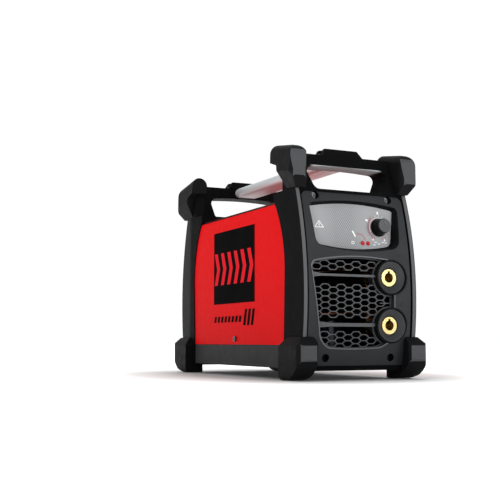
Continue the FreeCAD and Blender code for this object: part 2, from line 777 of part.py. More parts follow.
def rear_panel_shape():
    """The rear panel: fan grille, mains switch opening and cable gland hole, built facing the front."""
    inner_face = dim.fan_near + dim.fan_depth
    posts = []
    post_holes = []
    for across, rise in fan_corners():
        spot = (across, -(inner_face + 21), dim.fan_height + rise)
        posts.append(cylinder(f"fan_post_{across}_{rise}", 4.5, 21, spot, ALONG_Y))
        spot = (across, -(inner_face + 5), dim.fan_height + rise)
        post_holes.append(cylinder(f"fan_post_hole_{across}_{rise}", dim.screw_radius, 9, spot, ALONG_Y))
    blank = panel_blank("rear_panel", posts)
    centres = []
    radius = dim.fan_bore.value - 4
    for across, height in cell_centres(-radius, radius, radius, -7 * dim.cell_rise.value):
        gap = math.hypot(across, height)
        if gap < radius:
            centres.append((across, height + dim.fan_height.value))
    cells = cell_prisms("fan_cells", centres, -216, -150)
    spans = [(dim.switch_across - dim.switch_half_width, dim.switch_across + dim.switch_half_width),
             (-dim.switch_half_rise, dim.switch_half_rise)]
    switch = box("switch_hole", spans[0], spans[1], (-10, 20))
    gland = cylinder("gland_hole", 10, 30, (-dim.switch_across, 0, -10))
    fittings = group("rear_fittings", [switch, gland])
    fittings.Placement = pad_placement(FRONT)
    recess = extruded("rear_recess", "XY_Plane", overlay_outline(0.4), 0, 25)
    recess.Placement = pad_placement(FRONT)
    return cut("rear_panel_front", blank, [cells, fittings, recess] + post_holes + screw_recesses("rear"))


# ---- cover, tray, side labels ----


def outer_cover_shape():
    """The U-shaped steel cover whose ends follow the frames."""
    half = dim.cover_half_width
    arch = box("cover_block", (-half, half), (-160, 160), (dim.cover_bottom, dim.cover_top))
    top_edges = straight_along(Vector(0, 1, 0))

    def upper(edge):
        return top_edges(edge) and edge.CenterOfMass.z > dim.cover_top.value - 1

    outer = rounded("cover_outer", arch, 7.0, upper)
    inner = half - dim.sheet
    rise = (dim.cover_bottom - 1, dim.cover_top - dim.sheet)
    hollow = box("cover_hollow", (-inner, inner), (-161, 161), rise)

    def upper_inner(edge):
        return top_edges(edge) and edge.CenterOfMass.z > dim.cover_top.value - 3

    hollow = rounded("cover_inner", hollow, 5.5, upper_inner)
    shell = cut("cover_shell", outer, [hollow])
    low = dim.cover_bottom - 1
    high_point = edge_reach(dim.cover_top.value)
    rear_edge = cover_edge(REAR, low, dim.cover_top, high_point)
    front_edge = cover_edge(FRONT, low, dim.cover_top, high_point)
    front_down = [front_edge[2] + (dim.edge_radius, 1), front_edge[1][:2], front_edge[0]]
    rear_up = [rear_edge[0], rear_edge[1][:2] + (dim.edge_radius, 1), rear_edge[2]]
    side = extruded("cover_side", "YZ_Plane", rear_up + front_down, -half - 1, half + 1)
    trimmed = common("cover_trimmed", shell, side)
    spot = (-half - 5, 0, dim.cover_bottom + 8)
    hole = cylinder("cover_hole", dim.screw_radius, half * 2 + 10, spot, ALONG_X)
    return cut("outer_cover", trimmed, [hole])


def cover_screws_shape():
    """The two screws that hold the sides of the cover to the tray."""
    screws = []
    for side in (-1, 1):
        spot = (side * dim.cover_half_width.value, 0, dim.cover_bottom.value + 8)
        screws.append(screw(f"cover_screw_{side + 1}", spot, Rotation(Vector(0, 1, 0), -90 * side), 10))
    return group("cover_screws", screws)


def base_tray_shape():
    """The steel base tray with upstanding sides that the cover screws onto."""
    half = dim.tray_half_width - 0.6
    reach = dim.edge_low - 0.2
    block = box("tray_block", (-half, half), (-reach, reach), (dim.tray_bottom, dim.cover_bottom + 14))
    inner = half - dim.sheet
    hollow = box("tray_hollow", (-inner, inner), (-reach - 1, reach + 1),
                 (dim.tray_bottom + dim.sheet, dim.cover_bottom + 15))
    spot = (-half - 5, 0, dim.cover_bottom + 8)
    tools = [hollow, cylinder("tray_hole", dim.screw_radius, half * 2 + 10, spot, ALONG_X)]
    for end in (-1, 1):
        for side in (-1, 1):
            spot = (side * 60, end * 140, dim.tray_bottom - 5)
            tools.append(cylinder(f"tray_foot_{end + side + 2}", dim.screw_radius, 12, spot))
    slot_count = 7
    for number in range(slot_count):
        along = (number - (slot_count - 1) / 2) * 12
        spans = (dim.tray_bottom - 1, dim.tray_bottom + dim.sheet + 1)
        tools.append(box(f"tray_slot_{number}", (-25, 25), (along - 2, along + 2), spans))
    return cut("base_tray", block, tools)


def side_skirts_shape():
    """Two plastic skirts that close the sides below the cover."""
    skirts = []
    reach = dim.edge_low - 0.2
    for side in (-1, 1):
        near = dim.tray_half_width.value - 0.6
        far = dim.case_half_width.value - 1.2
        rise = (dim.tray_bottom, dim.cover_bottom - 0.3)
        skirts.append(box(f"skirt_{side + 1}", sorted((side * near, side * far)), (-reach, reach), rise))
    return group("side_skirts", skirts)


def side_labels_shape():
    """A plain film label on each side of the cover."""
    films = []
    for side in (-1, 1):
        near = dim.cover_half_width.value
        spans = sorted((side * near, side * (near + dim.decal_film.value)))
        length = (-dim.decal_front, dim.decal_rear)
        films.append(box(f"film_{side + 1}", spans, length, (dim.decal_low, dim.decal_top)))
    return group("side_labels", films)


# ---- handle ----


def handle_tube_shape():
    """The flat oval aluminium tube between the two arches."""
    outer = stadium(dim.tube_half_width, dim.tube_half_depth, dim.tube_height)
    inner = stadium(dim.tube_half_width - dim.tube_wall, dim.tube_half_depth - dim.tube_wall, dim.tube_height)
    whole = extruded("tube_outer", "XZ_Plane", outer, -dim.tube_reach, dim.tube_reach)
    hollow = extruded("tube_inner", "XZ_Plane", inner, -dim.tube_reach - 1, dim.tube_reach + 1)
    return cut("handle_tube", whole, [hollow])


def handle_clamp_shape():
    """The raised cap that holds the front end of the handle tube in its arch."""
    base = dim.clamp_half
    high = dim.clamp_top
    outline = [(-base, dim.frame_top), (base, dim.frame_top), (base - 6, high), (-base + 6, high)]
    block = extruded("clamp_block", "XZ_Plane", outline, dim.arch_back - 2, 175)
    trimmed = common("clamp_trimmed", block, face_cylinder("clamp_face", 0.5))
    tools = [tube_socket("clamp_tube", dim.tube_reach)]
    for side in (-1, 1):
        spot = (dim.clamp_screw_across * side, -dim.clamp_screw_along, dim.opening_top)
        tools.append(cylinder(f"clamp_drill_{side + 1}", dim.screw_radius, 60, spot))
        spot = (dim.clamp_screw_across * side, -dim.clamp_screw_along, dim.clamp_top - 8.5)
        tools.append(cylinder(f"clamp_sink_{side + 1}", dim.screw_head + 0.4, 20, spot))
    return cut("handle_clamp_front", trimmed, tools)


def screw(name, spot, rotation, length):
    """A pan-head screw whose shank starts at the spot; a cross is sunk into its head."""
    shank = cylinder(name + "_shank", dim.screw_radius, length, (0, 0, 0))
    head = cylinder(name + "_head", dim.screw_head, 2.4, (0, 0, -2.4))
    whole = fuse(name + "_solid", [shank, head])
    slots = [box(name + "_slot_a", (-0.5, 0.5), (-2.4, 2.4), (-3, -1)),
             box(name + "_slot_b", (-2.4, 2.4), (-0.5, 0.5), (-3, -1))]
    finished = cut(name, whole, slots)
    finished.Placement = Placement(Vector(*spot), rotation)
    return finished


def panel_screws(name):
    """The four screws of the front panel."""
    screws = []
    for number, (across, height) in enumerate(screw_spots()):
        seat = face_reach(height, dim.panel_inset.value) - dim.screw_sink.value
        screws.append(screw(f"{name}_{number}", (across, -seat, height), ALONG_Y, 14))
    return group(name, screws)


# ---- rubber bumpers and feet ----


def rubber_block(name, outline, low, high, front_view, lean, plan):
    """A moulded rubber corner cut to three views: side, front (leaning with its top) and plan."""
    side = extruded(name + "_side", "YZ_Plane", outline, low, high)
    front = extruded(name + "_front", "XZ_Plane", front_view, 110, 240)
    front.Placement = Placement(Vector(0, 0, lean[1]), Rotation(Vector(1, 0, 0), lean[0]))
    above = extruded(name + "_plan", "XY_Plane", plan, -20, 340)
    shaped = common(name + "_shaped", common(name + "_views", side, front), above)
    return cut(name, shaped, [frame_envelope(name + "_fit")])


def bumper_shape(word, reach):
    """An upper front right bumper: a boot around the top of an arch post."""
    top = dim.bumper_top
    inner = dim.bumper_inner
    outer = dim.bumper_outer
    outline = [
        (-reach + 15, top - 7.5),
        (-139, top),
        (-137, top - 12),
        (-138, 285),
        (-156, 279),
        (-163, 249),
        (-reach + 9, 247),
        (-reach, 261),
        (-reach + 4, top - 20, 14, -1),
    ]
    front_view = [
        (inner, -64),
        (outer - 17, -64),
        (outer, -35),
        (outer - 1.5, -13, 13, 1),
        (outer - 14, 0),
        (inner + 12, 0, 12, 1),
        (inner, -12),
    ]
    plan = [
        (inner, -reach + 9, 9, 1),
        (inner + 9, -reach),
        (outer - 8, -reach, 8, 1),
        (outer, -reach + 8),
        (outer, -120),
        (inner, -120),
    ]
    drop = 9.0
    height = top.value + 139 * math.tan(math.radians(drop))
    return rubber_block(word, outline, inner, outer, front_view, (drop, height), plan)


def foot_shape():
    """The lower front right foot: a block around the bottom corner of the frame, with a rocker sole."""
    reach = dim.foot_reach
    inner = dim.foot_inner
    outer = dim.foot_outer
    outline = [
        (-160, 0),
        (-reach + 43, 0, 48.6, -1),
        (-reach, 26),
        (-reach, 44),
        (-reach + 10, 55),
        (-168, 55),
        (-160, 42),
    ]
    front_view = [
        (inner, 1.5),
        (inner + 1.5, 0),
        (outer - 4, 0),
        (outer, 5),
        (outer, 44),
        (outer - 10, 55.5),
        (inner + 3, 55.5),
        (inner, 52),
    ]
    plan = [
        (inner, -reach + 3),
        (inner + 3, -reach),
        (outer - 8, -reach, 8, 1),
        (outer, -reach + 8),
        (outer, -150),
        (inner, -150),
    ]
    return rubber_block("foot_front_right", outline, inner, outer, front_view, (0, 0), plan)


# ---- controls, in the tilted area's own frame ----

LENS_SPOTS = [(15.0, -22.0), (23.2, -22.0)]


def lens_barrels(name, length):
    """Round barrels at the two indicator lights."""
    barrels = []
    for number, (across, rise) in enumerate(LENS_SPOTS):
        barrels.append(cylinder(f"{name}_{number}", 1.8, length, (across, rise, -3)))
    return barrels


def control_overlay_shape():
    """The control overlay, a thin plate in the recess."""
    plate = extruded("overlay_plate", "XY_Plane", overlay_outline(0), 0, dim.overlay_thickness)
    hole = cylinder("overlay_shaft_hole", 5.0, 5, (dim.knob_across, 0, -1))
    overlay = cut("control_overlay", plate, [hole] + lens_barrels("overlay_lens", 6))
    overlay.Placement = pad_placement(FRONT)
    return overlay


def indicator_lenses_shape():
    """Two indicator lenses with domed ends."""
    lenses = []
    for number, (across, rise) in enumerate(LENS_SPOTS):
        barrel = cylinder(f"lens_barrel_{number}", 1.8, 4.4, (across, rise, -3))
        dome = doc.addObject("Part::Sphere", f"lens_dome_{number}")
        dome.Radius = 1.8
        place(dome, (across, rise, 1.4))
        lenses.append(fuse(f"lens_{number}", [barrel, dome]))
    lenses = group("indicator_lenses", lenses)
    lenses.Placement = pad_placement(FRONT)
    return lenses


def current_knob_shape():
    """The fluted current knob, hollow below for the potentiometer's nut."""
    foot = dim.knob_radius
    across = dim.knob_across
    rise = dim.overlay_thickness + 0.5
    skirt = cylinder("knob_skirt", foot, 2.2, (across, 0, rise))
    grip = cone("knob_grip", foot - 0.7, foot - 2.4, dim.knob_height - 2.2, (across, 0, rise + 2.2))
    solid = fuse("knob_solid", [skirt, grip])
    flutes = []
    flute_count = 18
    for number in range(flute_count):
        angle = 2 * math.pi * number / flute_count
        reach = foot.value - 0.7
        spot = (across + reach * math.cos(angle), reach * math.sin(angle), rise + 3.4)
        flutes.append(cylinder(f"knob_flute_{number}", 0.8, 8.5, spot))
    cavity = cylinder("knob_cavity", 7.4, 4.4, (across, 0, rise - 1))
    bore = cylinder("knob_bore", dim.shaft_radius, 12, (across, 0, rise - 1))
    knob = cut("current_knob", solid, [cavity, bore] + flutes)
    knob.Placement = pad_placement(FRONT)
    return knob


def knob_cap_shape():
    """The light cap on the knob, with a raised pointer."""
    across = dim.knob_across
    low = dim.overlay_thickness + 0.5 + dim.knob_height
    disc = cone("cap_disc", dim.knob_radius - 2.8, dim.knob_radius - 3.3, 1.8, (across, 0, low))
    pointer = box("cap_pointer", (across - 0.7, across + 0.7), (1, dim.knob_radius - 4.4), (low + 1, low + 2.4))
    cap = fuse("knob_cap", [disc, pointer])
    cap.Placement = pad_placement(FRONT)
    return cap


def potentiometer_parts():
    """Body with its threaded neck, turning shaft and nut."""
    across = dim.knob_across
    can = cylinder("pot_can", 8.5, 8, (across, 0, -11))
    neck = cylinder("pot_neck", 5.0, 6.2, (across, 0, -3))
    bore = cylinder("pot_bore", dim.shaft_radius + 0.06, 20, (across, 0, -8))
    body = cut("potentiometer_body", fuse("pot_solid", [can, neck]), [bore])
    shaft = cylinder("potentiometer_shaft", dim.shaft_radius, 18.2, (across, 0, -7.9))
    ring = cylinder("pot_nut_ring", 7.0, 1.9, (across, 0, dim.overlay_thickness))
    nut = cut("potentiometer_nut", ring, [cylinder("pot_nut_bore", 5.0, 8, (across, 0, -1))])
    for piece in (body, nut):
        piece.Placement = pad_placement(FRONT)
    spot = Placement(Vector(across.value, 0, -7.9), Rotation())
    shaft.setExpression("Placement.Base.x", None)
    shaft.setExpression("Placement.Base.y", None)
    shaft.setExpression("Placement.Base.z", None)
    shaft.Placement = pad_placement(FRONT).multiply(spot)
    return body, shaft, nut


def control_board_shape():
    """The control board on its posts behind the control area."""
    thickness = dim.board_thickness
    board = box("control_plate", (-54, 54), (-21, 21), (-12.6 - thickness, -12.6))
    chip = box("control_chip", (-20, -6), (-7, 7), (-12.6, -10.6))
    plug = box("control_plug", (-40, -22), (-19, -13), (-12.6, -5.6))
    board = fuse("control_board", [board, chip, plug])
    board.Placement = pad_placement(FRONT)
    return board


# ---- welding sockets ----


def socket_parts(word, height):
    """Insulator with a funnel round the contact, brass contact and nut of one welding socket."""
    across = dim.socket_across
    mouth = dim.socket_mouth
    spot = (across, -mouth - 6, height)
    disc = cylinder(word + "_disc", dim.flange_radius, mouth + 6 - dim.socket_seat, spot, ALONG_Y)
    barrel = cylinder(word + "_barrel", dim.barrel_radius, 26, (across, -dim.socket_seat, height), ALONG_Y)
    hole = cylinder(word + "_hole", dim.contact_radius, 60, (across, -mouth - 8, height), ALONG_Y)
    funnel = cone(word + "_funnel", dim.flange_radius - 1, 12.6, 5.6, (across, -mouth - 6.1, height), ALONG_Y)
    groove = cylinder(word + "_groove", 12.6, 2.6, (across, -mouth - 0.6, height), ALONG_Y)
    solid = fuse(word + "_flange_solid", [disc, barrel])
    flange = cut(word + "_socket_insulator", solid, [hole, funnel, groove])
    brass = cylinder(word + "_brass", dim.contact_radius, 42, (across, -mouth, height), ALONG_Y)
    stud = cylinder(word + "_stud", 4.0, 14, (across, -mouth + 42, height), ALONG_Y)
    bore = cylinder(word + "_bore", dim.socket_bore, dim.socket_depth, (across, -mouth, height), ALONG_Y)
    keyway = box(word + "_keyway", (across - 1.7, across + 1.7), (-mouth, -mouth + 24), (height, height + 8.8))
    contact = cut(word + "_socket_contact", fuse(word + "_contact_solid", [brass, stud]), [bore, keyway])
    ring = cylinder(word + "_ring", 17.5, 5, (across, 0.3 - dim.boss_back, height), ALONG_Y)
    clear = cylinder(word + "_clear", dim.barrel_radius, 9, (across, -2 - dim.boss_back, height), ALONG_Y)
    nut = cut(word + "_socket_nut", ring, [clear])
    return flange, contact, nut


def busbar_shape(word, height, end_across, end_along):
    """A bent copper strip from a socket stud back into the power stage."""
    across = dim.socket_across
    start = -dim.socket_mouth + 42
    tab = box(word + "_tab", (across - 9, across + 9), (start, start + 2), (height - 9, height + 20))
    run = box(word + "_run", (across - 9, across + 9), (start, end_along), (height + 18, height + 20))
    spans = sorted((end_across, across.value + 9))
    turn = box(word + "_turn", spans, (end_along - 16, end_along), (height + 18, height + 20))
    rise = (height - 4, height + 20)
    drop = box(word + "_drop", (end_across, end_across + 2), (end_along - 16, end_along), rise)
    hole = cylinder(word + "_tab_hole", 4.0, 10, (across, start - 4, height), ALONG_Y)
    return cut(word + "_busbar", fuse(word + "_strip", [tab, run, turn, drop]), [hole])


# ---- power stage ----


def heatsink_shape(name, side):
    """A comb of fins along the air stream; the base plate faces the middle."""
    low = dim.board_height + dim.board_thickness
    inner = 14
    foot = sorted((side * inner, side * (inner + dim.sink_base.value)))
    pieces = [box(name + "_base", foot, (22, 126), (low, dim.sink_top))]
    count = 11
    for number in range(count):
        height = low + 3 + number * dim.fin_pitch
        spans = sorted((side * (inner + 3), side * (inner + dim.sink_base.value + dim.fin_length.value)))
        pieces.append(box(f"{name}_fin_{number}", spans, (22, 126), (height, height + dim.fin_thickness)))
    return fuse(name, pieces)


def semiconductor_row(name, side, places):
    """Flat power packages clamped to the base plate of a heatsink."""
    packages = []
    for number, along in enumerate(places):
        spans = sorted((side * 9.0, side * 14.0))
        packages.append(box(f"{name}_{number}", spans, (along - 8, along + 8), (60, 81)))
    return group(name, packages)


def transformer_parts():
    """A double-E ferrite core and the winding round its middle leg."""
    low = dim.board_height + dim.board_thickness
    block = box("core_block", (-70, -10), (-62, -4), (low, low + 58))
    windows = []
    for number, spans in enumerate(((-60, -48), (-32, -20))):
        windows.append(box(f"core_window_{number}", spans, (-70, 4), (low + 10, low + 48)))
    core = cut("transformer_core", block, windows)
    wrap = box("winding_block", (-60, -20), (-74, 8), (low + 10.4, low + 47.6))
    wrap = rounded("winding_round", wrap, 8.0, straight_along(Vector(0, 0, 1)))
    middle = box("winding_leg", (-48, -32), (-62, -4), (low, low + 58))
    winding = cut("transformer_winding", wrap, [middle])
    return core, winding


def choke_parts():
    """A ring core with its winding, standing on the board."""
    low = dim.board_height + dim.board_thickness
    spot = (36, -34, low + 9)
    outside = cylinder("choke_outside", 24, 18, spot)
    core = cut("choke_core", outside, [cylinder("choke_inside", 13, 30, (36, -34, low))])
    wound = torus("choke_wound", 18.5, 14.5, (36, -34, low + 18))
    flat = box("choke_space", (0, 80), (-80, 20), (low, low + 60))
    wound = common("choke_flat", wound, flat)
    winding = cut("choke_winding", wound, [core_copy(spot)])
    return core, winding


def core_copy(spot):
    """The space that the ring core fills inside its winding."""
    outside = cylinder("choke_space_outside", 24, 18, spot)
    inside = cylinder("choke_space_inside", 13, 30, (spot[0], spot[1], spot[2] - 6))
    return cut("choke_space_ring", outside, [inside])


def capacitors_shape():
    """Three input capacitors on the board."""
    low = dim.board_height + dim.board_thickness
    cans = []
    for number, across in enumerate((-52, -18, 16)):
        cans.append(cylinder(f"capacitor_{number}", 14.5, 46, (across, -98, low)))
    return group("input_capacitors", cans)


BOARD_POSTS = [(across, along) for across in (-66, 66) for along in (-112, 12, 132)]


def board_parts():
    """Main board, its standoffs and the insulating sheet below."""
    half = dim.board_half_width
    low = dim.board_height
    floor = dim.tray_bottom + dim.sheet
    board = box("main_board", (-half, half), (-120, 138), (low, low + dim.board_thickness))
    posts = []
    holes = []
    for number, (across, along) in enumerate(BOARD_POSTS):
        posts.append(cylinder(f"standoff_{number}", 3.5, low - floor, (across, along, floor)))
        holes.append(cylinder(f"sheet_hole_{number}", 3.5, 5, (across, along, floor - 1)))
    plate = box("sheet_plate", (-half, half), (-124, 136), (floor, floor + 0.8))
    return board, group("board_standoffs", posts), cut("insulating_sheet", plate, holes)


# ---- fan, mains switch and cable gland at the rear ----


def fan_frame_shape():
    """The square fan frame with its bore, motor plate and four arms."""
    half = dim.fan_half
    height = dim.fan_height
    near = dim.fan_near
    block = box("fan_block", (-half, half), (near, near + dim.fan_depth), (height - half, height + half))
    block = rounded("fan_block_round", block, 6.0, straight_along(Vector(0, 1, 0)))
    bore = cylinder("fan_hole", dim.fan_bore, 60, (0, near - 5, height), ALONG_Y)
    holes = [bore]
    for across, rise in fan_corners():
        spot = (across, near - 5, height + rise)
        holes.append(cylinder(f"fan_corner_{across}_{rise}", dim.screw_radius, 60, spot, ALONG_Y))
    frame = cut("fan_shell", block, holes)
    plate = cylinder("fan_motor_plate", dim.fan_hub, 3, (0, near, height), ALONG_Y)
    arms = []
    for number in range(4):
        turn = math.radians(45 + 90 * number)
        reach = dim.fan_bore.value + 1
        arm = box(f"fan_arm_{number}", (12, reach), (0, 3), (-2.5, 2.5))
        spin = Rotation(Vector(0, 1, 0), math.degrees(turn))
        for axis in "xyz":
            arm.setExpression(f"Placement.Base.{axis}", None)
        start = spin.multVec(Vector(12, 0, -2.5))
        arm.Placement = Placement(Vector(start.x, near.value, height.value + start.z), spin)
        arms.append(arm)
    whole = fuse("fan_whole", [frame, plate] + arms)
    bearing = cylinder("fan_bearing", 2.06, 10, (0, near - 1, height), ALONG_Y)
    return cut("fan_frame", whole, [bearing])


def fan_corners():
    """The four fixing holes of the fan."""
    for across in (-52.5, 52.5):
        for rise in (-52.5, 52.5):
            yield across, rise


def fan_rotor_shape():
    """Hub, shaft and pitched blades, turning about Y."""
    near = dim.fan_near + 4.5
    height = dim.fan_height
    hub = cylinder("rotor_hub", dim.fan_hub - 0.5, 18, (0, near, height), ALONG_Y)
    shaft = cylinder("rotor_shaft", 2.0, 6, (0, near - 4.2, height), ALONG_Y)
    blades = []
    blade_count = 7
    for number in range(blade_count):
        blade = doc.addObject("Part::Box", f"rotor_blade_{number}")
        blade.Length = 44
        blade.Width = 1.8
        blade.Height = 22
        pitch = Rotation(Vector(1, 0, 0), 42)
        spin = Rotation(Vector(0, 1, 0), 360.0 * number / blade_count)
        corner = pitch.multVec(Vector(16, -0.9, -11))
        middle = Vector(0, near.value + 9, height.value)
        blade.Placement = Placement(middle + spin.multVec(corner), spin.multiply(pitch))
        blades.append(blade)
    sweep = cylinder("rotor_sweep", dim.fan_sweep, 16.5, (0, near + 0.8, height), ALONG_Y)
    trimmed = common("rotor_blades", fuse("rotor_blade_set", blades), sweep)
    return fuse("fan_rotor", [hub, shaft, trimmed])


def fan_screws_shape():
    """Four screws that hold the fan from its inner side."""
    screws = []
    for number, (across, rise) in enumerate(fan_corners()):
        spot = (across, dim.fan_near.value, dim.fan_height.value + rise)
        screws.append(screw(f"fan_screw_{number}", spot, ALONG_Y, 28))
    return group("fan_screws", screws)


def switch_parts():
    """Mains switch housing and its rocker, built at the front and turned to the rear."""
    across = -dim.switch_across
    half = dim.switch_half_width
    rise = dim.switch_half_rise
    rim = box("switch_rim", (across - half - 2, across + half + 2), (-rise - 2, rise + 2), (0, 1.6))
    well = box("switch_well", (across - half, across + half), (-rise, rise), (-24, 1))
    room = half - 1.8
    inside = box("switch_inside", (across - room, across + room), (-rise + 1.8, rise - 1.8), (-14, 5))
    pins = []
    for number, spot in enumerate((-6, 6)):
        pins.append(box(f"switch_pin_{number}", (across - 3, across + 3), (spot - 0.4, spot + 0.4), (-33, -24)))
    pivot_hole = cylinder("switch_pivot_hole", 1.56, half * 2, (across - half, 0, -3.0), ALONG_X)
    body = cut("power_switch_body", fuse("switch_solid", [rim, well] + pins), [inside, pivot_hole])
    width = half - 2.1
    lean = math.radians(dim.rocker_angle.value)
    reach = rise.value - 2.6
    middle = 3.6 - reach * math.tan(lean)
    outline = [(-reach, -4.5), (0, -6.5), (reach, -4.5), (reach, 1.6), (0, middle), (-reach, 1.6)]
    outline = [(along, up + 0.6) for along, up in outline]
    paddle = extruded("rocker_paddle", "YZ_Plane", outline, -width, width)
    pin = cylinder("rocker_pin", 1.5, width * 2 + 3.4, (-width - 1.7, 0, 0), ALONG_X)
    rocker = fuse("power_switch_rocker", [paddle, pin])
    lean_turn = Rotation(Vector(1, 0, 0), -dim.rocker_angle.value)
    body.Placement = pad_placement(REAR)
    seat = Placement(Vector(across.value, 0, -3.0), lean_turn)
    rocker.Placement = pad_placement(REAR).multiply(seat)
    return body, rocker


def gland_parts():
    """Cable gland with its clamping dome, and the lock nut inside the panel."""
    across = dim.switch_across
    neck = cylinder("gland_neck", 10, 14, (across, 0, -11))
    collar = cylinder("gland_collar", 13, 5, (across, 0, 0))
    dome = cone("gland_dome", 12, 9, 12, (across, 0, 5))
    bore = cylinder("gland_bore", dim.cable_bore, 60, (across, 0, -20))
    gland = cut("cable_gland", fuse("gland_solid", [neck, collar, dome]), [bore])
    ring = cylinder("gland_ring", 13.5, 5, (across, 0, -8))
    nut = cut("cable_gland_nut", ring, [cylinder("gland_nut_bore", 10, 20, (across, 0, -15))])
    for piece in (gland, nut):
        piece.Placement = pad_placement(REAR)
    return gland, nut


# ---- the assembly ----

LEFT_RIGHT = Vector(1, 0, 0)
FRONT_BACK = Vector(0, 1, 0)

front_frame = keep(front_frame_shape(), "front_frame")
keep(mirrored("rear_frame", front_frame, FRONT_BACK), "rear_frame")
keep(front_panel_shape(), "front_panel")
keep(mirrored("rear_panel", rear_panel_shape(), FRONT_BACK), "rear_panel")
keep(front_grille_shape(), "front_grille")
keep(outer_cover_shape(), "outer_cover")
keep(base_tray_shape(), "base_tray")
keep(cover_screws_shape(), "cover_screws", 2)
keep(side_skirts_shape(), "side_skirts", 2)
keep(side_labels_shape(), "side_labels", 2)

keep(handle_tube_shape(), "handle_tube")
clamp = keep(handle_clamp_shape(), "handle_clamp_front")
keep(mirrored("handle_clamp_rear", clamp, FRONT_BACK), "handle_clamp_rear")
clamp_screws = []
for end in (-1, 1):
    for side in (-1, 1):
        across = side * dim.clamp_screw_across.value
        seat = Vector(across, end * dim.clamp_screw_along.value, dim.clamp_top.value - 8.5)
        clamp_screws.append(screw(f"clamp_screw_{end + 1}_{side + 1}", seat, Rotation(Vector(1, 0, 0), 180), 14))
keep(group("handle_screws", clamp_screws), "handle_screws", 4)

front_bumper = keep(bumper_shape("bumper_front_right", dim.bumper_reach), "bumper_front_right")
keep(mirrored("bumper_front_left", front_bumper, LEFT_RIGHT), "bumper_front_left")
rear_blank = bumper_shape("bumper_rear_blank", dim.bumper_reach_rear)
rear_bumper = keep(mirrored("bumper_rear_right", rear_blank, FRONT_BACK), "bumper_rear_right")
keep(mirrored("bumper_rear_left", rear_bumper, LEFT_RIGHT), "bumper_rear_left")
front_foot = keep(foot_shape(), "foot_front_right")
left_foot = keep(mirrored("foot_front_left", front_foot, LEFT_RIGHT), "foot_front_left")
keep(mirrored("foot_rear_right", front_foot, FRONT_BACK), "foot_rear_right")
keep(mirrored("foot_rear_left", left_foot, FRONT_BACK), "foot_rear_left")

front_screws = keep(panel_screws("front_screws"), "front_screws", 4)
keep(mirrored("rear_screws", front_screws, FRONT_BACK), "rear_screws", 4)

keep(control_overlay_shape(), "control_overlay")
keep(indicator_lenses_shape(), "indicator_lenses", 2)
keep(current_knob_shape(), "current_knob")
keep(knob_cap_shape(), "knob_cap")
for piece in potentiometer_parts():
    keep(piece, piece.Name)
keep(control_board_shape(), "control_board")

for word, height in (("positive", dim.socket_low), ("negative", dim.socket_high)):
    for piece in socket_parts(word, height):
        keep(piece, piece.Name)
keep(busbar_shape("positive", dim.socket_low, 20.0, -40), "positive_busbar")
keep(busbar_shape("negative", dim.socket_high, -14.0, 40), "negative_busbar")

for piece in board_parts():
    keep(piece, piece.Name, 6 if piece.Name == "board_standoffs" else 1)
keep(heatsink_shape("primary_heatsink", 1), "primary_heatsink")
keep(heatsink_shape("secondary_heatsink", -1), "secondary_heatsink")
keep(semiconductor_row("power_transistors", 1, (38, 62, 86, 110)), "power_transistors", 4)
keep(semiconductor_row("output_diodes", -1, (44, 74, 104)), "output_diodes", 3)
for piece in transformer_parts():
    keep(piece, piece.Name)
for piece in choke_parts():
    keep(piece, piece.Name)
keep(capacitors_shape(), "input_capacitors", 3)

keep(fan_frame_shape(), "fan_frame")
keep(fan_rotor_shape(), "fan_rotor")
keep(fan_screws_shape(), "fan_screws", 4)
for piece in switch_parts():
    keep(piece, piece.Name)
for piece in gland_parts():
    keep(piece, piece.Name)

doc.recompute()

faults = []
for thing in doc.Objects:
    if "Invalid" in thing.State or "Error" in thing.State:
        faults.append(f"{thing.Name} did not compute: {thing.State}")
for thing in nodes:
    shape = thing.Shape
    if shape.isNull() or not shape.isValid():
        faults.append(f"{thing.Label} has no valid shape")
    elif len(shape.Solids) != solid_counts[thing.Label]:
        faults.append(f"{thing.Label} has {len(shape.Solids)} solids, not {solid_counts[thing.Label]}")
if faults:
    raise RuntimeError("; ".join(faults))

os.makedirs("parts", exist_ok=True)
for thing in nodes:
    thing.Shape.exportStep(f"parts/{thing.Label}.step")
print(len(nodes), "nodes written")
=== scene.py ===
import json
import math

import bmesh
import bpy
from mathutils import Matrix, Vector


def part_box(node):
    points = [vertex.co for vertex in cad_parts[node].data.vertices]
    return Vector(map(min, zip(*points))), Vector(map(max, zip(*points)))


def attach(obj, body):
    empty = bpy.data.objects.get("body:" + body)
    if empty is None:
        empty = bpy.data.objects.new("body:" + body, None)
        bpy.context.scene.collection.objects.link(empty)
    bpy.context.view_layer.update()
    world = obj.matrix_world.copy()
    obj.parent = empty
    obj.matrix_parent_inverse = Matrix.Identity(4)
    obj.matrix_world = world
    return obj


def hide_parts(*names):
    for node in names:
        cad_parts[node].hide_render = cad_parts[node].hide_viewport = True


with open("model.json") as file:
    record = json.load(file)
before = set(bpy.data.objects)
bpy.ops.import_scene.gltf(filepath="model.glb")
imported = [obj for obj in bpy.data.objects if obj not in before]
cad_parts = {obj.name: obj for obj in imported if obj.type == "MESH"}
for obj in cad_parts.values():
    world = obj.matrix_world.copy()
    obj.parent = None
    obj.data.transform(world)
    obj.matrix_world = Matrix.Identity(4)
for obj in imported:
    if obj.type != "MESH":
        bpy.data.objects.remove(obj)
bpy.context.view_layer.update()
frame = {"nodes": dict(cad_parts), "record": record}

MM = 0.001
X, Y, Z = 0, 1, 2
scene = bpy.context.scene
scene.view_settings.view_transform = "Standard"


def reach(node, axis):
    """The highest coordinate of a CAD node along an axis, in millimetres."""
    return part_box(node)[1][axis] / MM


def middle(node, axis):
    """The middle of a CAD node's box along an axis, in millimetres."""
    low_corner, high_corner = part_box(node)
    return (low_corner[axis] + high_corner[axis]) / 2 / MM


# ---- places on the machine, in millimetres ----

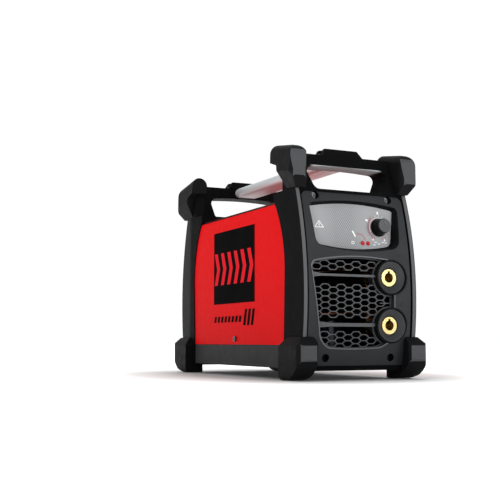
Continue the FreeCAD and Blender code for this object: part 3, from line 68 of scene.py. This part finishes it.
COVER_SIDE = reach("outer_cover", X)
COVER_TOP = reach("outer_cover", Z)
FRAME_SIDE = reach("front_frame", X)
LABEL_MIDDLE = middle("side_labels", Y)
KNOB_X = middle("current_knob", X)
SOCKET_X = middle("positive_socket_contact", X)
SOCKET_LEVELS = [middle(f"{word}_socket_contact", Z) for word in ("positive", "negative")]
COLLAR_RADIUS = 24.2
SCREW_SPOTS = [(56, 238.6), (49.2, 28.3)]
SCREW_RECESS_RADIUS = 8

# The end faces are bowed: an arc about a level axis across the machine.
BOW_CENTRE_Y = 220
BOW_CENTRE_Z = 112
BOW_RADIUS = 427

# What lies less than this behind the bow stands out from the front panel, which is set back.
RAISED_INSET = 0.75

# The control areas at both ends are flat and lean back a little.
PAD_Y = 184.6
PAD_Z = 200.5
PAD_TILT = math.radians(5.3)


# ---- camera, floor and light ----


def add_camera():
    """The camera stands low, in front of the left side, and looks slightly upwards."""
    spot = Vector((-648.3, -1226.9, 50.3)) * MM
    yaw, pitch = 0.44676, 0.09712
    ahead = Vector((math.sin(yaw) * math.cos(pitch), math.cos(yaw) * math.cos(pitch), math.sin(pitch)))
    camera = bpy.data.objects.new("camera", bpy.data.cameras.new("camera"))
    camera.data.sensor_width = 36
    camera.data.lens = 66.98
    camera.location = spot
    camera.rotation_mode = "QUATERNION"
    camera.rotation_quaternion = ahead.to_track_quat("-Z", "Y")
    scene.collection.objects.link(camera)
    scene.camera = camera


def add_area(name, spot, target, size, power):
    """A square white soft box that faces its target."""
    data = bpy.data.lights.new(name, "AREA")
    data.size = size
    data.energy = power
    light = bpy.data.objects.new(name, data)
    light.location = spot
    light.rotation_mode = "QUATERNION"
    light.rotation_quaternion = (Vector(target) - Vector(spot)).to_track_quat("-Z", "Y")
    scene.collection.objects.link(light)


def map_range(tree, value, low, high, to_low, to_high):
    """Stretches a range of values onto another in a node tree, and holds it there."""
    node = tree.nodes.new("ShaderNodeMapRange")
    limits = {"From Min": low, "From Max": high, "To Min": to_low, "To Max": to_high}
    for name, limit in limits.items():
        node.inputs[name].default_value = limit
    tree.links.new(value, node.inputs["Value"])
    return node.outputs["Result"]


def floor_material():
    """Painted shadow: pale grey near the machine; further out it glows white, so no horizon shows."""
    material = bpy.data.materials.new("floor_pale")
    material.use_nodes = True
    tree = material.node_tree
    shader = tree.nodes["Principled BSDF"]
    shader.inputs["Roughness"].default_value = 0.7
    shader.inputs["Emission Color"].default_value = (1, 1, 1, 1)
    squeeze = tree.nodes.new("ShaderNodeMapping")
    squeeze.inputs["Scale"].default_value = (1.3, 1, 1)
    length = tree.nodes.new("ShaderNodeVectorMath")
    length.operation = "LENGTH"
    tree.links.new(tree.nodes.new("ShaderNodeTexCoord").outputs["Object"], squeeze.inputs["Vector"])
    tree.links.new(squeeze.outputs["Vector"], length.inputs[0])
    distance = length.outputs["Value"]
    # Painted shadow: a grey pool in the floor's colour round the machine; the glow fades out near it
    # too.
    grey = map_range(tree, distance, 0.17, 0.32, 0.34, 0.88)
    glow = map_range(tree, distance, 0.28, 0.8, 0.02, 1.0)
    tree.links.new(grey, shader.inputs["Base Color"])
    tree.links.new(glow, shader.inputs["Emission Strength"])
    return material


def add_floor():
    """A square floor, a hair below the feet."""
    half_side = 12
    gap = 0.3 * MM
    corners = [(x * half_side, y * half_side, 0) for x, y in ((-1, -1), (1, -1), (1, 1), (-1, 1))]
    mesh = bpy.data.meshes.new("floor")
    mesh.from_pydata(corners, [], [(0, 1, 2, 3)])
    mesh.materials.append(floor_material())
    floor = bpy.data.objects.new("floor", mesh)
    floor.location.z = -gap
    scene.collection.objects.link(floor)


def add_sky():
    """A white backdrop behind the machine and low all round, with a dimmer studio above."""
    white = 1.03
    behind = (0.432, 0.9, 0.05)
    world = bpy.data.worlds.new("studio")
    scene.world = world
    world.use_nodes = True
    tree = world.node_tree
    background = tree.nodes["Background"]
    background.inputs["Color"].default_value = (1, 1, 1, 1)
    direction = tree.nodes.new("ShaderNodeTexCoord").outputs["Generated"]
    towards = tree.nodes.new("ShaderNodeVectorMath")
    towards.operation = "DOT_PRODUCT"
    towards.inputs[1].default_value = behind
    height = tree.nodes.new("ShaderNodeSeparateXYZ")
    brighter = tree.nodes.new("ShaderNodeMath")
    brighter.operation = "MAXIMUM"
    tree.links.new(direction, towards.inputs[0])
    tree.links.new(direction, height.inputs["Vector"])
    backdrop = map_range(tree, towards.outputs["Value"], 0.62, 0.9, 0.36, white)
    low_band = map_range(tree, height.outputs["Z"], 0.16, 0.4, white, 0.2)
    tree.links.new(backdrop, brighter.inputs[0])
    tree.links.new(low_band, brighter.inputs[1])
    tree.links.new(brighter.outputs["Value"], background.inputs["Strength"])


def add_studio():
    """Floor, sky and soft boxes."""
    add_floor()
    add_sky()
    add_area("left_box", (-1.7, -0.9, 1.5), (0, 0, 0.15), 1.0, 17)
    add_area("front_box", (1.15, -2.0, 0.75), (0, -0.2, 0.15), 0.8, 13)
    add_area("top_box", (0.1, 0.1, 2.2), (0, 0, 0.2), 1.0, 32)


# ---- materials ----


class Shade:
    """A material under construction, in object space, whose lengths are metres."""

    def __init__(self, name, colour, roughness, metallic=0.0, gloss=0.5):
        self.material = bpy.data.materials.new(name)
        self.material.use_nodes = True
        self.tree = self.material.node_tree
        self.nodes = self.tree.nodes
        self.links = self.tree.links
        self.shader = self.nodes["Principled BSDF"]
        self.shader.inputs["Base Color"].default_value = (*colour, 1)
        self.shader.inputs["Roughness"].default_value = roughness
        self.shader.inputs["Metallic"].default_value = metallic
        self.shader.inputs["Specular IOR Level"].default_value = gloss
        self.plain_colour = colour
        self.colour = None
        self.roughness = None
        self.height = None
        self.place = self.nodes.new("ShaderNodeTexCoord").outputs["Object"]

    def noise(self, scale, detail=3.0, stretch=(1, 1, 1)):
        """Smooth noise between 0 and 1, on a place that is scaled for each axis."""
        stretched = self.nodes.new("ShaderNodeMapping")
        stretched.inputs["Scale"].default_value = stretch
        self.links.new(self.place, stretched.inputs["Vector"])
        node = self.nodes.new("ShaderNodeTexNoise")
        node.inputs["Scale"].default_value = scale
        node.inputs["Detail"].default_value = detail
        self.links.new(stretched.outputs["Vector"], node.inputs["Vector"])
        return node.outputs["Fac"]

    def cells(self, scale):
        """Distance to the nearest of many scattered points, as in a leather-like mould grain."""
        node = self.nodes.new("ShaderNodeTexVoronoi")
        node.inputs["Scale"].default_value = scale
        self.links.new(self.place, node.inputs["Vector"])
        return node.outputs["Distance"]

    def axis(self, letter):
        """One coordinate of the place."""
        node = self.nodes.new("ShaderNodeSeparateXYZ")
        self.links.new(self.place, node.inputs["Vector"])
        return node.outputs[letter]

    def combine(self, operation, first, second=0):
        """A Math node on two values, each a number or another node's output."""
        node = self.nodes.new("ShaderNodeMath")
        node.operation = operation
        for socket, value in zip(node.inputs, (first, second)):
            if isinstance(value, (int, float)):
                socket.default_value = value
            else:
                self.links.new(value, socket)
        return node.outputs[0]

    def remap(self, value, low, high, to_low, to_high):
        """Stretches a range of values onto another, and holds it there."""
        return map_range(self.tree, value, low, high, to_low, to_high)

    def rising(self, place, start, end, most=1):
        """A share that grows from 0 between two places in millimetres."""
        return self.remap(place, start * MM, end * MM, 0, most)

    def falling(self, place, start, end):
        """A share that shrinks to 0 between two places in millimetres."""
        return self.remap(place, start * MM, end * MM, 1, 0)

    def overlap(self, *shares):
        """The product of several shares."""
        result = shares[0]
        for share in shares[1:]:
            result = self.combine("MULTIPLY", result, share)
        return result

    def tint(self, share, colour):
        """Mixes another colour in where the share is high."""
        node = self.nodes.new("ShaderNodeMix")
        node.data_type = "RGBA"
        under, over = node.inputs[6], node.inputs[7]
        self.links.new(share, node.inputs["Factor"])
        if self.colour is None:
            under.default_value = (*self.plain_colour, 1)
        else:
            self.links.new(self.colour, under)
        over.default_value = (*colour, 1)
        self.colour = node.outputs[2]

    def mottle(self, noise, low, high, most, factor):
        """Tints the plain colour darker or lighter by a factor, where the noise is high."""
        other = tuple(channel * factor for channel in self.plain_colour)
        self.tint(self.remap(noise, low, high, 0, most), other)

    def rough(self, noise, low, high):
        """Roughness between two levels."""
        self.roughness = self.remap(noise, 0.3, 0.7, low, high)

    def bump(self, value, depth):
        """Adds a height of a given depth in metres."""
        height = self.combine("MULTIPLY", value, depth)
        self.height = height if self.height is None else self.combine("ADD", self.height, height)

    def done(self):
        """Connects what was built and returns the material."""
        if self.colour is not None:
            self.links.new(self.colour, self.shader.inputs["Base Color"])
        if self.roughness is not None:
            self.links.new(self.roughness, self.shader.inputs["Roughness"])
        if self.height is not None:
            node = self.nodes.new("ShaderNodeBump")
            node.inputs["Distance"].default_value = 1.0
            self.links.new(self.height, node.inputs["Height"])
            self.links.new(node.outputs["Normal"], self.shader.inputs["Normal"])
        return self.material


def moulded(name, colour, roughness, gloss=0.3, grain=1500, depth=0.00004):
    """Moulded plastic with a fine eroded grain and slight changes of tone."""
    shade = Shade(name, colour, roughness, 0.0, gloss)
    lighter = tuple(min(1, channel * 1.12 + 0.0008) for channel in colour)
    shade.tint(shade.remap(shade.noise(26), 0.35, 0.75, 0, 1), lighter)
    shade.rough(shade.noise(60), roughness - 0.04, roughness + 0.06)
    shade.bump(shade.cells(grain), depth)
    shade.bump(shade.noise(grain * 0.4), depth * 0.6)
    return shade.done()


def powder_coat(name, colour, roughness):
    """Powder coat with orange peel and a slight change of tone."""
    shade = Shade(name, colour, roughness, 0.0, 0.2)
    shade.mottle(shade.noise(9), 0.3, 0.7, 0.5, 0.9)
    shade.rough(shade.noise(150), roughness - 0.05, roughness + 0.07)
    shade.bump(shade.noise(700, 2), 0.00004)
    shade.bump(shade.noise(160, 1), 0.00005)
    return shade.done()


def painted_cover(name, colour):
    """Powder coat outside; the inside of the cover is painted near-black as painted shade."""
    shade = Shade(name, colour, 0.5, 0.0, 0.03)
    shade.mottle(shade.noise(9), 0.3, 0.7, 0.5, 0.93)
    # Painted shade: within the sheet's outer faces the cover is tinted near-black.
    across = shade.combine("ABSOLUTE", shade.axis("X"))
    within_sides = shade.falling(across, COVER_SIDE - 0.7, COVER_SIDE - 0.5)
    under_top = shade.falling(shade.axis("Z"), COVER_TOP - 0.8, COVER_TOP - 0.6)
    shade.tint(shade.overlap(within_sides, under_top), (0.006, 0.006, 0.006))
    shade.rough(shade.noise(150), 0.45, 0.57)
    shade.bump(shade.noise(700, 2), 0.00003)
    shade.bump(shade.noise(160, 1), 0.00003)
    return shade.done()


def screws(name, colour):
    """Blackened screw steel; painted shade makes the lower screws, deep in recesses, darker still."""
    shade = Shade(name, colour, 0.35, 1.0)
    shade.mottle(shade.noise(500), 0.35, 0.7, 0.5, 0.7)
    # Painted shade: below 40 to 45 mm the screws are tinted near-black.
    shade.tint(shade.falling(shade.axis("Z"), 40, 45), (0.004, 0.004, 0.004))
    shade.rough(shade.noise(300), 0.3, 0.42)
    shade.bump(shade.noise(900), 0.00002)
    return shade.done()


def rubber(name, colour, gloss):
    """Matt rubber with a fine grain and faint scuffs."""
    shade = Shade(name, colour, 0.5, 0.0, gloss)
    shade.mottle(shade.noise(38), 0.5, 0.8, 0.5, 1.3)
    shade.rough(shade.noise(90), 0.46, 0.58)
    shade.bump(shade.cells(1300), 0.00005)
    shade.bump(shade.noise(420), 0.00004)
    return shade.done()


def frame_moulding(name, colour):
    """The frames' black plastic, with a painted highlight on the rim beside each panel
    and painted light on the rear flanks.

    The front arch is lighter underneath too: a painted reflection of the pale floor and backdrop.
    """
    shade = Shade(name, colour, 0.5, 0.0, 0.015)
    shade.mottle(shade.noise(26), 0.35, 0.75, 1, 1.2)
    across = shade.combine("ABSOLUTE", shade.axis("X"))
    along = shade.axis("Y")
    up = shade.axis("Z")

    # Painted highlight on the frames' rim beside each panel.
    beside_panel = shade.overlap(shade.rising(across, FRAME_SIDE - 6, FRAME_SIDE - 5.4),
                                 shade.falling(across, FRAME_SIDE - 1.1, FRAME_SIDE - 0.4))
    below_arch = shade.falling(up, 245.5, 247.5)
    at_ends = shade.rising(shade.combine("ABSOLUTE", along), 160, 168)
    shade.tint(shade.overlap(beside_panel, below_arch, at_ends), (0.10, 0.102, 0.106))

    # Painted light on the rear frame's flanks.
    towards_rear = shade.rising(along, 166, 178, 0.8)
    flank = shade.rising(across, FRAME_SIDE - 1.2, FRAME_SIDE - 0.6)
    shade.tint(shade.overlap(towards_rear, flank), (0.034, 0.035, 0.036))

    # Painted reflection of the pale floor and backdrop under the front arch.
    above_opening = shade.overlap(shade.rising(up, 271.5, 274.5), shade.falling(up, 281.2, 281.5))
    between_posts = shade.falling(across, 50, 56)
    behind_front_face = shade.rising(along, -188.2, -187.8)
    at_front = shade.falling(along, -100, -90)
    arch_painted_reflection = shade.overlap(above_opening, between_posts, behind_front_face, at_front)
    shade.tint(arch_painted_reflection, (0.32, 0.32, 0.325))

    shade.rough(shade.noise(60), 0.46, 0.56)
    shade.bump(shade.cells(1500), 0.00004)
    shade.bump(shade.noise(600), 0.00003)
    return shade.done()


def metal(name, colour, roughness, stretch=(1, 1, 1)):
    """Metal with fine lines along the axis whose scale is smallest."""
    shade = Shade(name, colour, roughness, 1.0)
    shade.mottle(shade.noise(500, 2, stretch), 0.35, 0.7, 0.5, 0.78)
    shade.rough(shade.noise(300, 2, stretch), roughness - 0.06, roughness + 0.1)
    shade.bump(shade.noise(900, 2, stretch), 0.00002)
    return shade.done()


def anodised(name, colour):
    """Satin anodised aluminium: soft and slightly milky, with fine lines along the tube."""
    shade = Shade(name, colour, 0.42, 0.3)
    shade.mottle(shade.noise(400, 2, (1, 0.03, 1)), 0.35, 0.7, 0.35, 0.85)
    shade.rough(shade.noise(300, 2, (1, 0.03, 1)), 0.36, 0.5)
    shade.bump(shade.noise(1200, 2, (1, 0.02, 1)), 0.00002)
    return shade.done()


def hatched_film(name, colour):
    """Silver printed film with fine diagonal hatching that fades out towards the sides."""
    radians_per_metre = 2600
    middle_x = -13
    shade = Shade(name, colour, 0.4, 0.0, 0.3)
    across, up = shade.axis("X"), shade.axis("Z")
    slant_across = shade.combine("MULTIPLY", across, 0.82)
    slant_up = shade.combine("MULTIPLY", up, 0.57)
    slant = shade.combine("SUBTRACT", slant_across, slant_up)
    wave = shade.combine("SINE", shade.combine("MULTIPLY", slant, radians_per_metre))
    from_middle = shade.combine("ABSOLUTE", shade.combine("SUBTRACT", across, middle_x * MM))
    stripes = shade.overlap(shade.remap(wave, -0.6, 0.9, 0, 1), shade.falling(from_middle, 12, 36))
    shade.tint(shade.combine("MULTIPLY", stripes, 0.9), tuple(channel * 0.42 for channel in colour))
    shade.mottle(shade.noise(30), 0.3, 0.7, 0.25, 0.9)
    shade.rough(shade.noise(200), 0.36, 0.46)
    shade.bump(shade.noise(2500, 1), 0.000006)
    return shade.done()


def print_ink(name, colour):
    """Screen-printed ink with a slightly uneven cover."""
    shade = Shade(name, colour, 0.45, 0.0, 0.004)
    shade.mottle(shade.noise(900), 0.4, 0.8, 0.5, 0.85)
    shade.rough(shade.noise(500), 0.4, 0.52)
    shade.bump(shade.noise(3000, 1), 0.000004)
    return shade.done()


# Each material slot of the record, with the function that makes it and what that takes after the name.
MATERIALS = {
    "black_moulding": (frame_moulding, (0.0034, 0.0035, 0.0038)),
    "panel_moulding": (moulded, (0.019, 0.0205, 0.0225), 0.5, 0.15),
    "grille_moulding": (moulded, (0.064, 0.066, 0.07), 0.45),
    "insulator_grey": (moulded, (0.03, 0.0315, 0.034), 0.48, 0.25),
    "bumper_rubber": (rubber, (0.005, 0.0052, 0.0058), 0.05),
    "red_paint": (painted_cover, (0.58, 0.0015, 0.003)),
    "tray_paint": (powder_coat, (0.012, 0.0125, 0.013), 0.5),
    "skirt_plastic": (moulded, (0.026, 0.0265, 0.0275), 0.5, 0.05),
    "label_film": (moulded, (0.002, 0.002, 0.002), 0.5, 0.004, 3000, 0.00001),
    "tube_metal": (anodised, (0.46, 0.49, 0.5)),
    "screw_steel": (screws, (0.09, 0.09, 0.094)),
    "overlay_film": (hatched_film, (0.285, 0.293, 0.302)),
    "lens_red": (moulded, (0.5, 0.006, 0.012), 0.2, 0.5, 3000, 0.00001),
    "knob_plastic": (moulded, (0.002, 0.002, 0.0022), 0.38, 0.08),
    "cap_grey": (moulded, (0.036, 0.039, 0.042), 0.36, 0.3),
    "pot_steel": (metal, (0.5, 0.5, 0.5), 0.35),
    "board_green": (moulded, (0.006, 0.05, 0.016), 0.4),
    "brass": (metal, (0.62, 0.48, 0.21), 0.3),
    "nut_steel": (metal, (0.5, 0.5, 0.5), 0.35),
    "copper_bar": (metal, (0.7, 0.32, 0.16), 0.35),
    "spacer_nylon": (moulded, (0.3, 0.3, 0.28), 0.5),
    "sheet_insulation": (moulded, (0.3, 0.28, 0.2), 0.5),
    "sink_aluminium": (metal, (0.7, 0.7, 0.71), 0.35, (1, 0.03, 1)),
    "chip_black": (moulded, (0.006, 0.006, 0.006), 0.5),
    "ferrite": (moulded, (0.02, 0.02, 0.022), 0.6),
    "winding_copper": (metal, (0.55, 0.22, 0.08), 0.35),
    "capacitor_sleeve": (moulded, (0.006, 0.01, 0.02), 0.25, 0.5),
    "fan_plastic": (moulded, (0.006, 0.006, 0.006), 0.45),
    "switch_plastic": (moulded, (0.006, 0.006, 0.006), 0.35, 0.5),
    "rocker_plastic": (moulded, (0.45, 0.006, 0.006), 0.25, 0.5),
    "gland_plastic": (moulded, (0.01, 0.01, 0.01), 0.5),
}
made = {name: maker(name, *values) for name, (maker, *values) in MATERIALS.items()}
slot_of = {entry["node"]: entry["material_slot"] for entry in frame["record"]["subparts"]}

INK_WHITE = print_ink("ink_white", (0.8, 0.8, 0.8))
INK_RED = print_ink("ink_red", (0.42, 0.02, 0.03))
INK_LABEL_RED = print_ink("ink_label_red", (0.6, 0.012, 0.02))
INK_BLACK = print_ink("ink_black", (0.003, 0.002, 0.002))
INK_GREY = print_ink("ink_grey", (0.16, 0.16, 0.165))
# Painted shade for the panel's recess walls and socket collars.
PANEL_PAINTED_SHADE = moulded("panel_painted_shade", (0.004, 0.0042, 0.0045), 0.55, 0.05)
# Painted highlight for the lip round the grille.
PANEL_LIP_HIGHLIGHT = moulded("panel_lip_painted_highlight", (0.085, 0.088, 0.092), 0.45)
# Painted light for the outward faces of bumpers and feet.
RUBBER_FACE_PAINTED_LIGHT = rubber("bumper_rubber_painted_light", (0.042, 0.043, 0.047), 0.3)


# ---- CAD nodes with materials, and pieces with rounded edges that stand for some of them ----


def smooth(mesh, angle=35):
    """Smooth shading, broken at edges sharper than the angle."""
    mesh.polygons.foreach_set("use_smooth", [True] * len(mesh.polygons))
    mesh.set_sharp_from_angle(angle=math.radians(angle))
    mesh.update()


def dress_cad_nodes():
    """Gives every CAD node the procedural material of its slot."""
    for name, node in frame["nodes"].items():
        node.data.materials.clear()
        node.data.materials.append(made[slot_of[name]])
        smooth(node.data)


def body_name(node):
    """The body that a CAD node belongs to."""
    for body, members in frame["record"]["behaviour"]["bodies"].items():
        if node in members:
            return body
    raise ValueError(node)


def clean(mesh):
    """Joins a mesh's doubled points and the flat triangles between them, and drops its own normals."""
    build = bmesh.new()
    build.from_mesh(mesh)
    bmesh.ops.remove_doubles(build, verts=build.verts, dist=0.01 * MM)
    flat_enough = math.radians(0.4)
    bmesh.ops.dissolve_limit(build, angle_limit=flat_enough, verts=build.verts, edges=build.edges)
    build.to_mesh(mesh)
    build.free()
    if mesh.has_custom_normals:
        mesh.attributes.remove(mesh.attributes["custom_normal"])


def rounded_mesh(piece, width, segments, angle):
    """A copy of a piece's mesh with its edges rounded where they are sharper than an angle."""
    bevel = piece.modifiers.new("round", "BEVEL")
    bevel.width = width * MM
    bevel.segments = segments
    bevel.limit_method = "ANGLE"
    bevel.angle_limit = math.radians(angle)
    bevel.miter_outer = "MITER_ARC"
    weighted = piece.modifiers.new("even", "WEIGHTED_NORMAL")
    weighted.keep_sharp = True
    smooth(piece.data, 50)
    bpy.context.view_layer.update()
    evaluated = piece.evaluated_get(bpy.context.evaluated_depsgraph_get())
    mesh = bpy.data.meshes.new_from_object(evaluated)
    mesh.name = piece.name
    piece.modifiers.clear()
    return mesh


def softened(node, width, segments=2, angle=32, accents=()):
    """A piece with the CAD node's shape and rounded edges, which stands for the node.

    An accent is a material and a test of a face's centre and normal; here it paints light or shade.
    The last that fits counts.
    """
    mesh = frame["nodes"][node].data.copy()
    clean(mesh)
    piece = bpy.data.objects.new(node + "_piece", mesh)
    scene.collection.objects.link(piece)
    piece.data = rounded_mesh(piece, width, segments, angle)
    piece.data.materials.clear()
    piece.data.materials.append(made[slot_of[node]])
    for number, (material, test) in enumerate(accents, 1):
        piece.data.materials.append(material)
        for face in piece.data.polygons:
            if test(face.center, face.normal):
                face.material_index = number
    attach(piece, body_name(node))
    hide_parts(node)


def front_inset(centre):
    """How far a point lies behind the bowed front face, in millimetres."""
    return BOW_RADIUS - math.hypot(centre.y / MM - BOW_CENTRE_Y, centre.z / MM - BOW_CENTRE_Z)


def recess_wall(centre, normal):
    """The steep walls round the control overlay and inside the screw recesses, which get painted shade.
    """
    x, y, z = centre / MM
    in_controls = abs(x) < 74 and 160 < z < 236 and y < -182
    from_screw = min(math.hypot(abs(x) - across, z - up) for across, up in SCREW_SPOTS)
    pad_normal = Vector((0, -math.cos(PAD_TILT), math.sin(PAD_TILT)))
    steep = abs(normal.dot(pad_normal)) < 0.8
    return (in_controls or from_screw < SCREW_RECESS_RADIUS) and steep and front_inset(centre) > 0.6


def outward_face(centre, normal):
    """The flat faces of bumpers and feet that point out of the machine's ends; they get painted light.
    """
    outwards = 1 if centre.y > 0 else -1
    return normal.y * outwards > 0.86


def by_socket(x, z):
    """Whether a spot lies within the collar of a socket."""
    return min(math.hypot(x - SOCKET_X, z - level) for level in SOCKET_LEVELS) < COLLAR_RADIUS


def socket_collar(centre, normal):
    """The panel's collars round the sockets, and their seats, which get painted shade."""
    x, y, z = centre / MM
    raised_or_steep = front_inset(centre) < RAISED_INSET or abs(normal.y) < 0.5
    return y < -186 and by_socket(x, z) and raised_or_steep


def raised_lip(centre, normal):
    """The lip round the grille opening, which stands out from the panel; it gets a painted highlight."""
    x, y, z = centre / MM
    round_grille = -78 < x < 56 and 36 < z < 166
    return round_grille and front_inset(centre) < RAISED_INSET and not by_socket(x, z)


# ---- printed marks, as flat polygons just above their surface, in millimetres ----


def pad_plane(end, lift):
    """The tilted control area at one end: X to the right seen from outside, Y up, lifted outwards."""
    to_pad = Matrix.Translation(Vector((0, end * PAD_Y, PAD_Z)) * MM)
    turn = Matrix.Rotation(0 if end < 0 else math.pi, 4, "Z")
    tilt = Matrix.Rotation(math.pi / 2 - PAD_TILT, 4, "X")
    return to_pad @ turn @ tilt @ Matrix.Translation((0, 0, lift * MM))


def side_plane(side, lift):
    """A side of the cover: X along the machine as it reads from outside, Y up."""
    turn = Matrix.Rotation(side * math.pi / 2, 4, "Z") @ Matrix.Rotation(math.pi / 2, 4, "X")
    return Matrix.Translation((side * (COVER_SIDE + lift) * MM, 0, 0)) @ turn


def around(centre, radius, degrees):
    """A point at a radius and an angle round a centre."""
    turn = math.radians(degrees)
    return centre[0] + radius * math.cos(turn), centre[1] + radius * math.sin(turn)


def stroke(points, width):
    """Quadrilaterals that follow a line of points and reach a little past each end."""
    past_end = 0.3 * width
    shapes = []
    for (a, b), (c, d) in zip(points, points[1:]):
        length = math.hypot(c - a, d - b)
        east, north = (c - a) / length, (d - b) / length
        a, b, c, d = a - east * past_end, b - north * past_end, c + east * past_end, d + north * past_end
        left, up = -north * width / 2, east * width / 2
        shapes.append([(a + left, b + up), (a - left, b - up), (c - left, d - up), (c + left, d + up)])
    return shapes


def outline(corners, width):
    """Strokes round a closed shape."""
    return stroke([*corners, corners[0]], width)


def ring_sector(centre, inner, outer, start, end, steps=40):
    """A band between two radii, from one angle to another."""
    shapes = []
    for number in range(steps):
        first, last = (start + (end - start) * (number + extra) / steps for extra in (0, 1))
        corners = [(inner, first), (outer, first), (outer, last), (inner, last)]
        shapes.append([around(centre, radius, degrees) for radius, degrees in corners])
    return shapes


def dial_ticks(centre, angles, inner, outer, width):
    """Radial ticks round a dial."""
    shapes = []
    for degrees in angles:
        shapes += stroke([around(centre, radius, degrees) for radius in (inner, outer)], width)
    return shapes


def printed(name, plane, shapes, ink, body="case"):
    """One layer of print on the case, or on another body."""
    mesh = bpy.data.meshes.new(name)
    points = []
    faces = []
    for shape in shapes:
        faces.append(list(range(len(points), len(points) + len(shape))))
        points.extend(plane @ Vector((a * MM, b * MM, 0)) for a, b in shape)
    mesh.from_pydata(points, [], faces)
    mesh.materials.append(ink)
    piece = bpy.data.objects.new(name, mesh)
    scene.collection.objects.link(piece)
    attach(piece, body)


def white_control_marks(dial):
    """The dial's ring and ticks, a rod, a square, short dashes and a warning triangle."""
    marks = ring_sector(dial, 13.2, 14.1, -20, 205)
    marks += dial_ticks(dial, range(45, 126, 20), 15.2, 17.4, 0.7)
    marks += dial_ticks(dial, (90, 152), 19.0, 21.2, 2.6)
    marks += dial_ticks(dial, (-118, -62), 18.0, 19.6, 2.2)
    rod = [(0.4, -6.6), (3.8, -13.2)]
    marks += stroke(rod, 2.2)
    square = [(-1.8, -20.4), (1.6, -20.4), (1.6, -23.6), (-1.8, -23.6)]
    marks += outline(square, 0.8)
    dashes = [(31.5, -16.5), (35.5, -20.0), (33.2, -23.6), (47.0, -19.6), (51.6, -20.0), (40.5, -22.0)]
    for across, up in dashes:
        marks += stroke([(across - 1.5, up), (across + 1.5, up)], 1.1)
    triangle = [(-56.5, -3.5), (-50.0, 5.0), (-43.5, -3.5)]
    marks += outline(triangle, 1.1)
    marks += stroke([(-50.0, -1.6), (-50.0, 1.8)], 1.2)
    return marks


def red_control_marks(dial):
    """The dial's red ticks, a lead that runs to the lights, a dash and a ring round each light."""
    marks = dial_ticks(dial, range(125, 246, 10), 15.0, 17.6, 1.0)
    marks += dial_ticks(dial, (-70, -50, -30), 15.2, 17.2, 0.8)
    lead = [(6.9, -9.6), (13.8, -10.4), (18.4, -15.2), (19.1, -18.0)]
    marks += stroke(lead, 0.8)
    marks += stroke([(9.5, -22.0), (13.0, -22.0)], 0.8)
    for light in ((15.0, -22.0), (23.2, -22.0)):
        marks += ring_sector(light, 2.0, 3.1, 0, 360, 20)
    return marks


def print_controls():
    """Dial scale, thin marks and pictograms on the control overlay."""
    plane = pad_plane(-1, 0.86)
    dial = (KNOB_X, 0)
    printed("overlay_marks_white", plane, white_control_marks(dial), INK_WHITE)
    printed("overlay_marks_red", plane, red_control_marks(dial), INK_RED)


def print_pointer():
    """The pale line on the knob's cap."""
    to_pad = pad_plane(-1, 0).inverted()
    cap_top = max((to_pad @ corner.co).z for corner in frame["nodes"]["knob_cap"].data.vertices) / MM
    line = stroke([(KNOB_X, 2.2), (KNOB_X, 7.4)], 1.1)
    printed("cap_pointer_line", pad_plane(-1, cap_top + 0.05), line, INK_GREY, "current_knob")


def chevrons(centre):
    """A row of chevrons that point along the machine, each of two leaning bars."""
    width, lean = 11, 9
    low, level, high = 133, 157, 181
    shapes = []
    for number in range(6):
        start = centre - 68 + 23 * number
        tip = start + lean
        shapes.append([(start, low), (start + width, low), (tip + width, level), (tip, level)])
        shapes.append([(tip, level), (tip + width, level), (start + width, high), (start, high)])
    return shapes


def slanted_dashes(centre):
    """Eight small dashes and three taller ones, in a row."""
    rows = [(8, -70, 77, 86, 2.5), (3, 33, 72, 95, 6)]
    width, step = 8, 12.5
    shapes = []
    for count, offset, low, high, lean in rows:
        for number in range(count):
            start = centre + offset + step * number
            top = start + lean
            shapes.append([(start, low), (start + width, low), (top + width, high), (top, high)])
    return shapes


def print_sides():
    """Plain chevrons on each side label, and slanted dashes on the cover below it."""
    for side, word in ((-1, "left"), (1, "right")):
        centre = side * LABEL_MIDDLE
        on_label = side_plane(side, 0.3)
        on_cover = side_plane(side, 0.05)
        printed(f"label_picture_{word}", on_label, chevrons(centre), INK_LABEL_RED)
        printed(f"cover_dashes_{word}", on_cover, slanted_dashes(centre), INK_BLACK)


def print_rear():
    """A blank rating plate beside the mains switch."""
    plate = [(-17, -12), (17, -12), (17, 12), (-17, 12)]
    printed("rating_plate", pad_plane(1, 0.05), [plate], INK_GREY)


# ---- the scene ----

dress_cad_nodes()
for end in ("front", "rear"):
    softened(f"{end}_frame", 1.6, 3)
    softened(f"handle_clamp_{end}", 1.6)
    for side in ("left", "right"):
        # The outward faces of bumpers and feet get painted light.
        softened(f"bumper_{end}_{side}", 2.2, 3, 18, [(RUBBER_FACE_PAINTED_LIGHT, outward_face)])
        softened(f"foot_{end}_{side}", 2.2, 3, 22, [(RUBBER_FACE_PAINTED_LIGHT, outward_face)])
# Painted shade on recess walls and socket collars, and a painted highlight on the grille lip.
panel_shade_and_highlight = [(PANEL_PAINTED_SHADE, recess_wall), (PANEL_LIP_HIGHLIGHT, raised_lip), (PANEL_PAINTED_SHADE, socket_collar)]
softened("front_panel", 0.6, accents=panel_shade_and_highlight)
softened("rear_panel", 0.6)
softened("front_grille", 0.3, 1)
for word in ("positive", "negative"):
    softened(f"{word}_socket_insulator", 0.5)
    softened(f"{word}_socket_contact", 1.2, 3)
softened("current_knob", 0.4)
softened("knob_cap", 0.4)
softened("base_tray", 0.5)
softened("side_skirts", 0.8)
print_controls()
print_pointer()
print_sides()
print_rear()

add_camera()
add_studio()
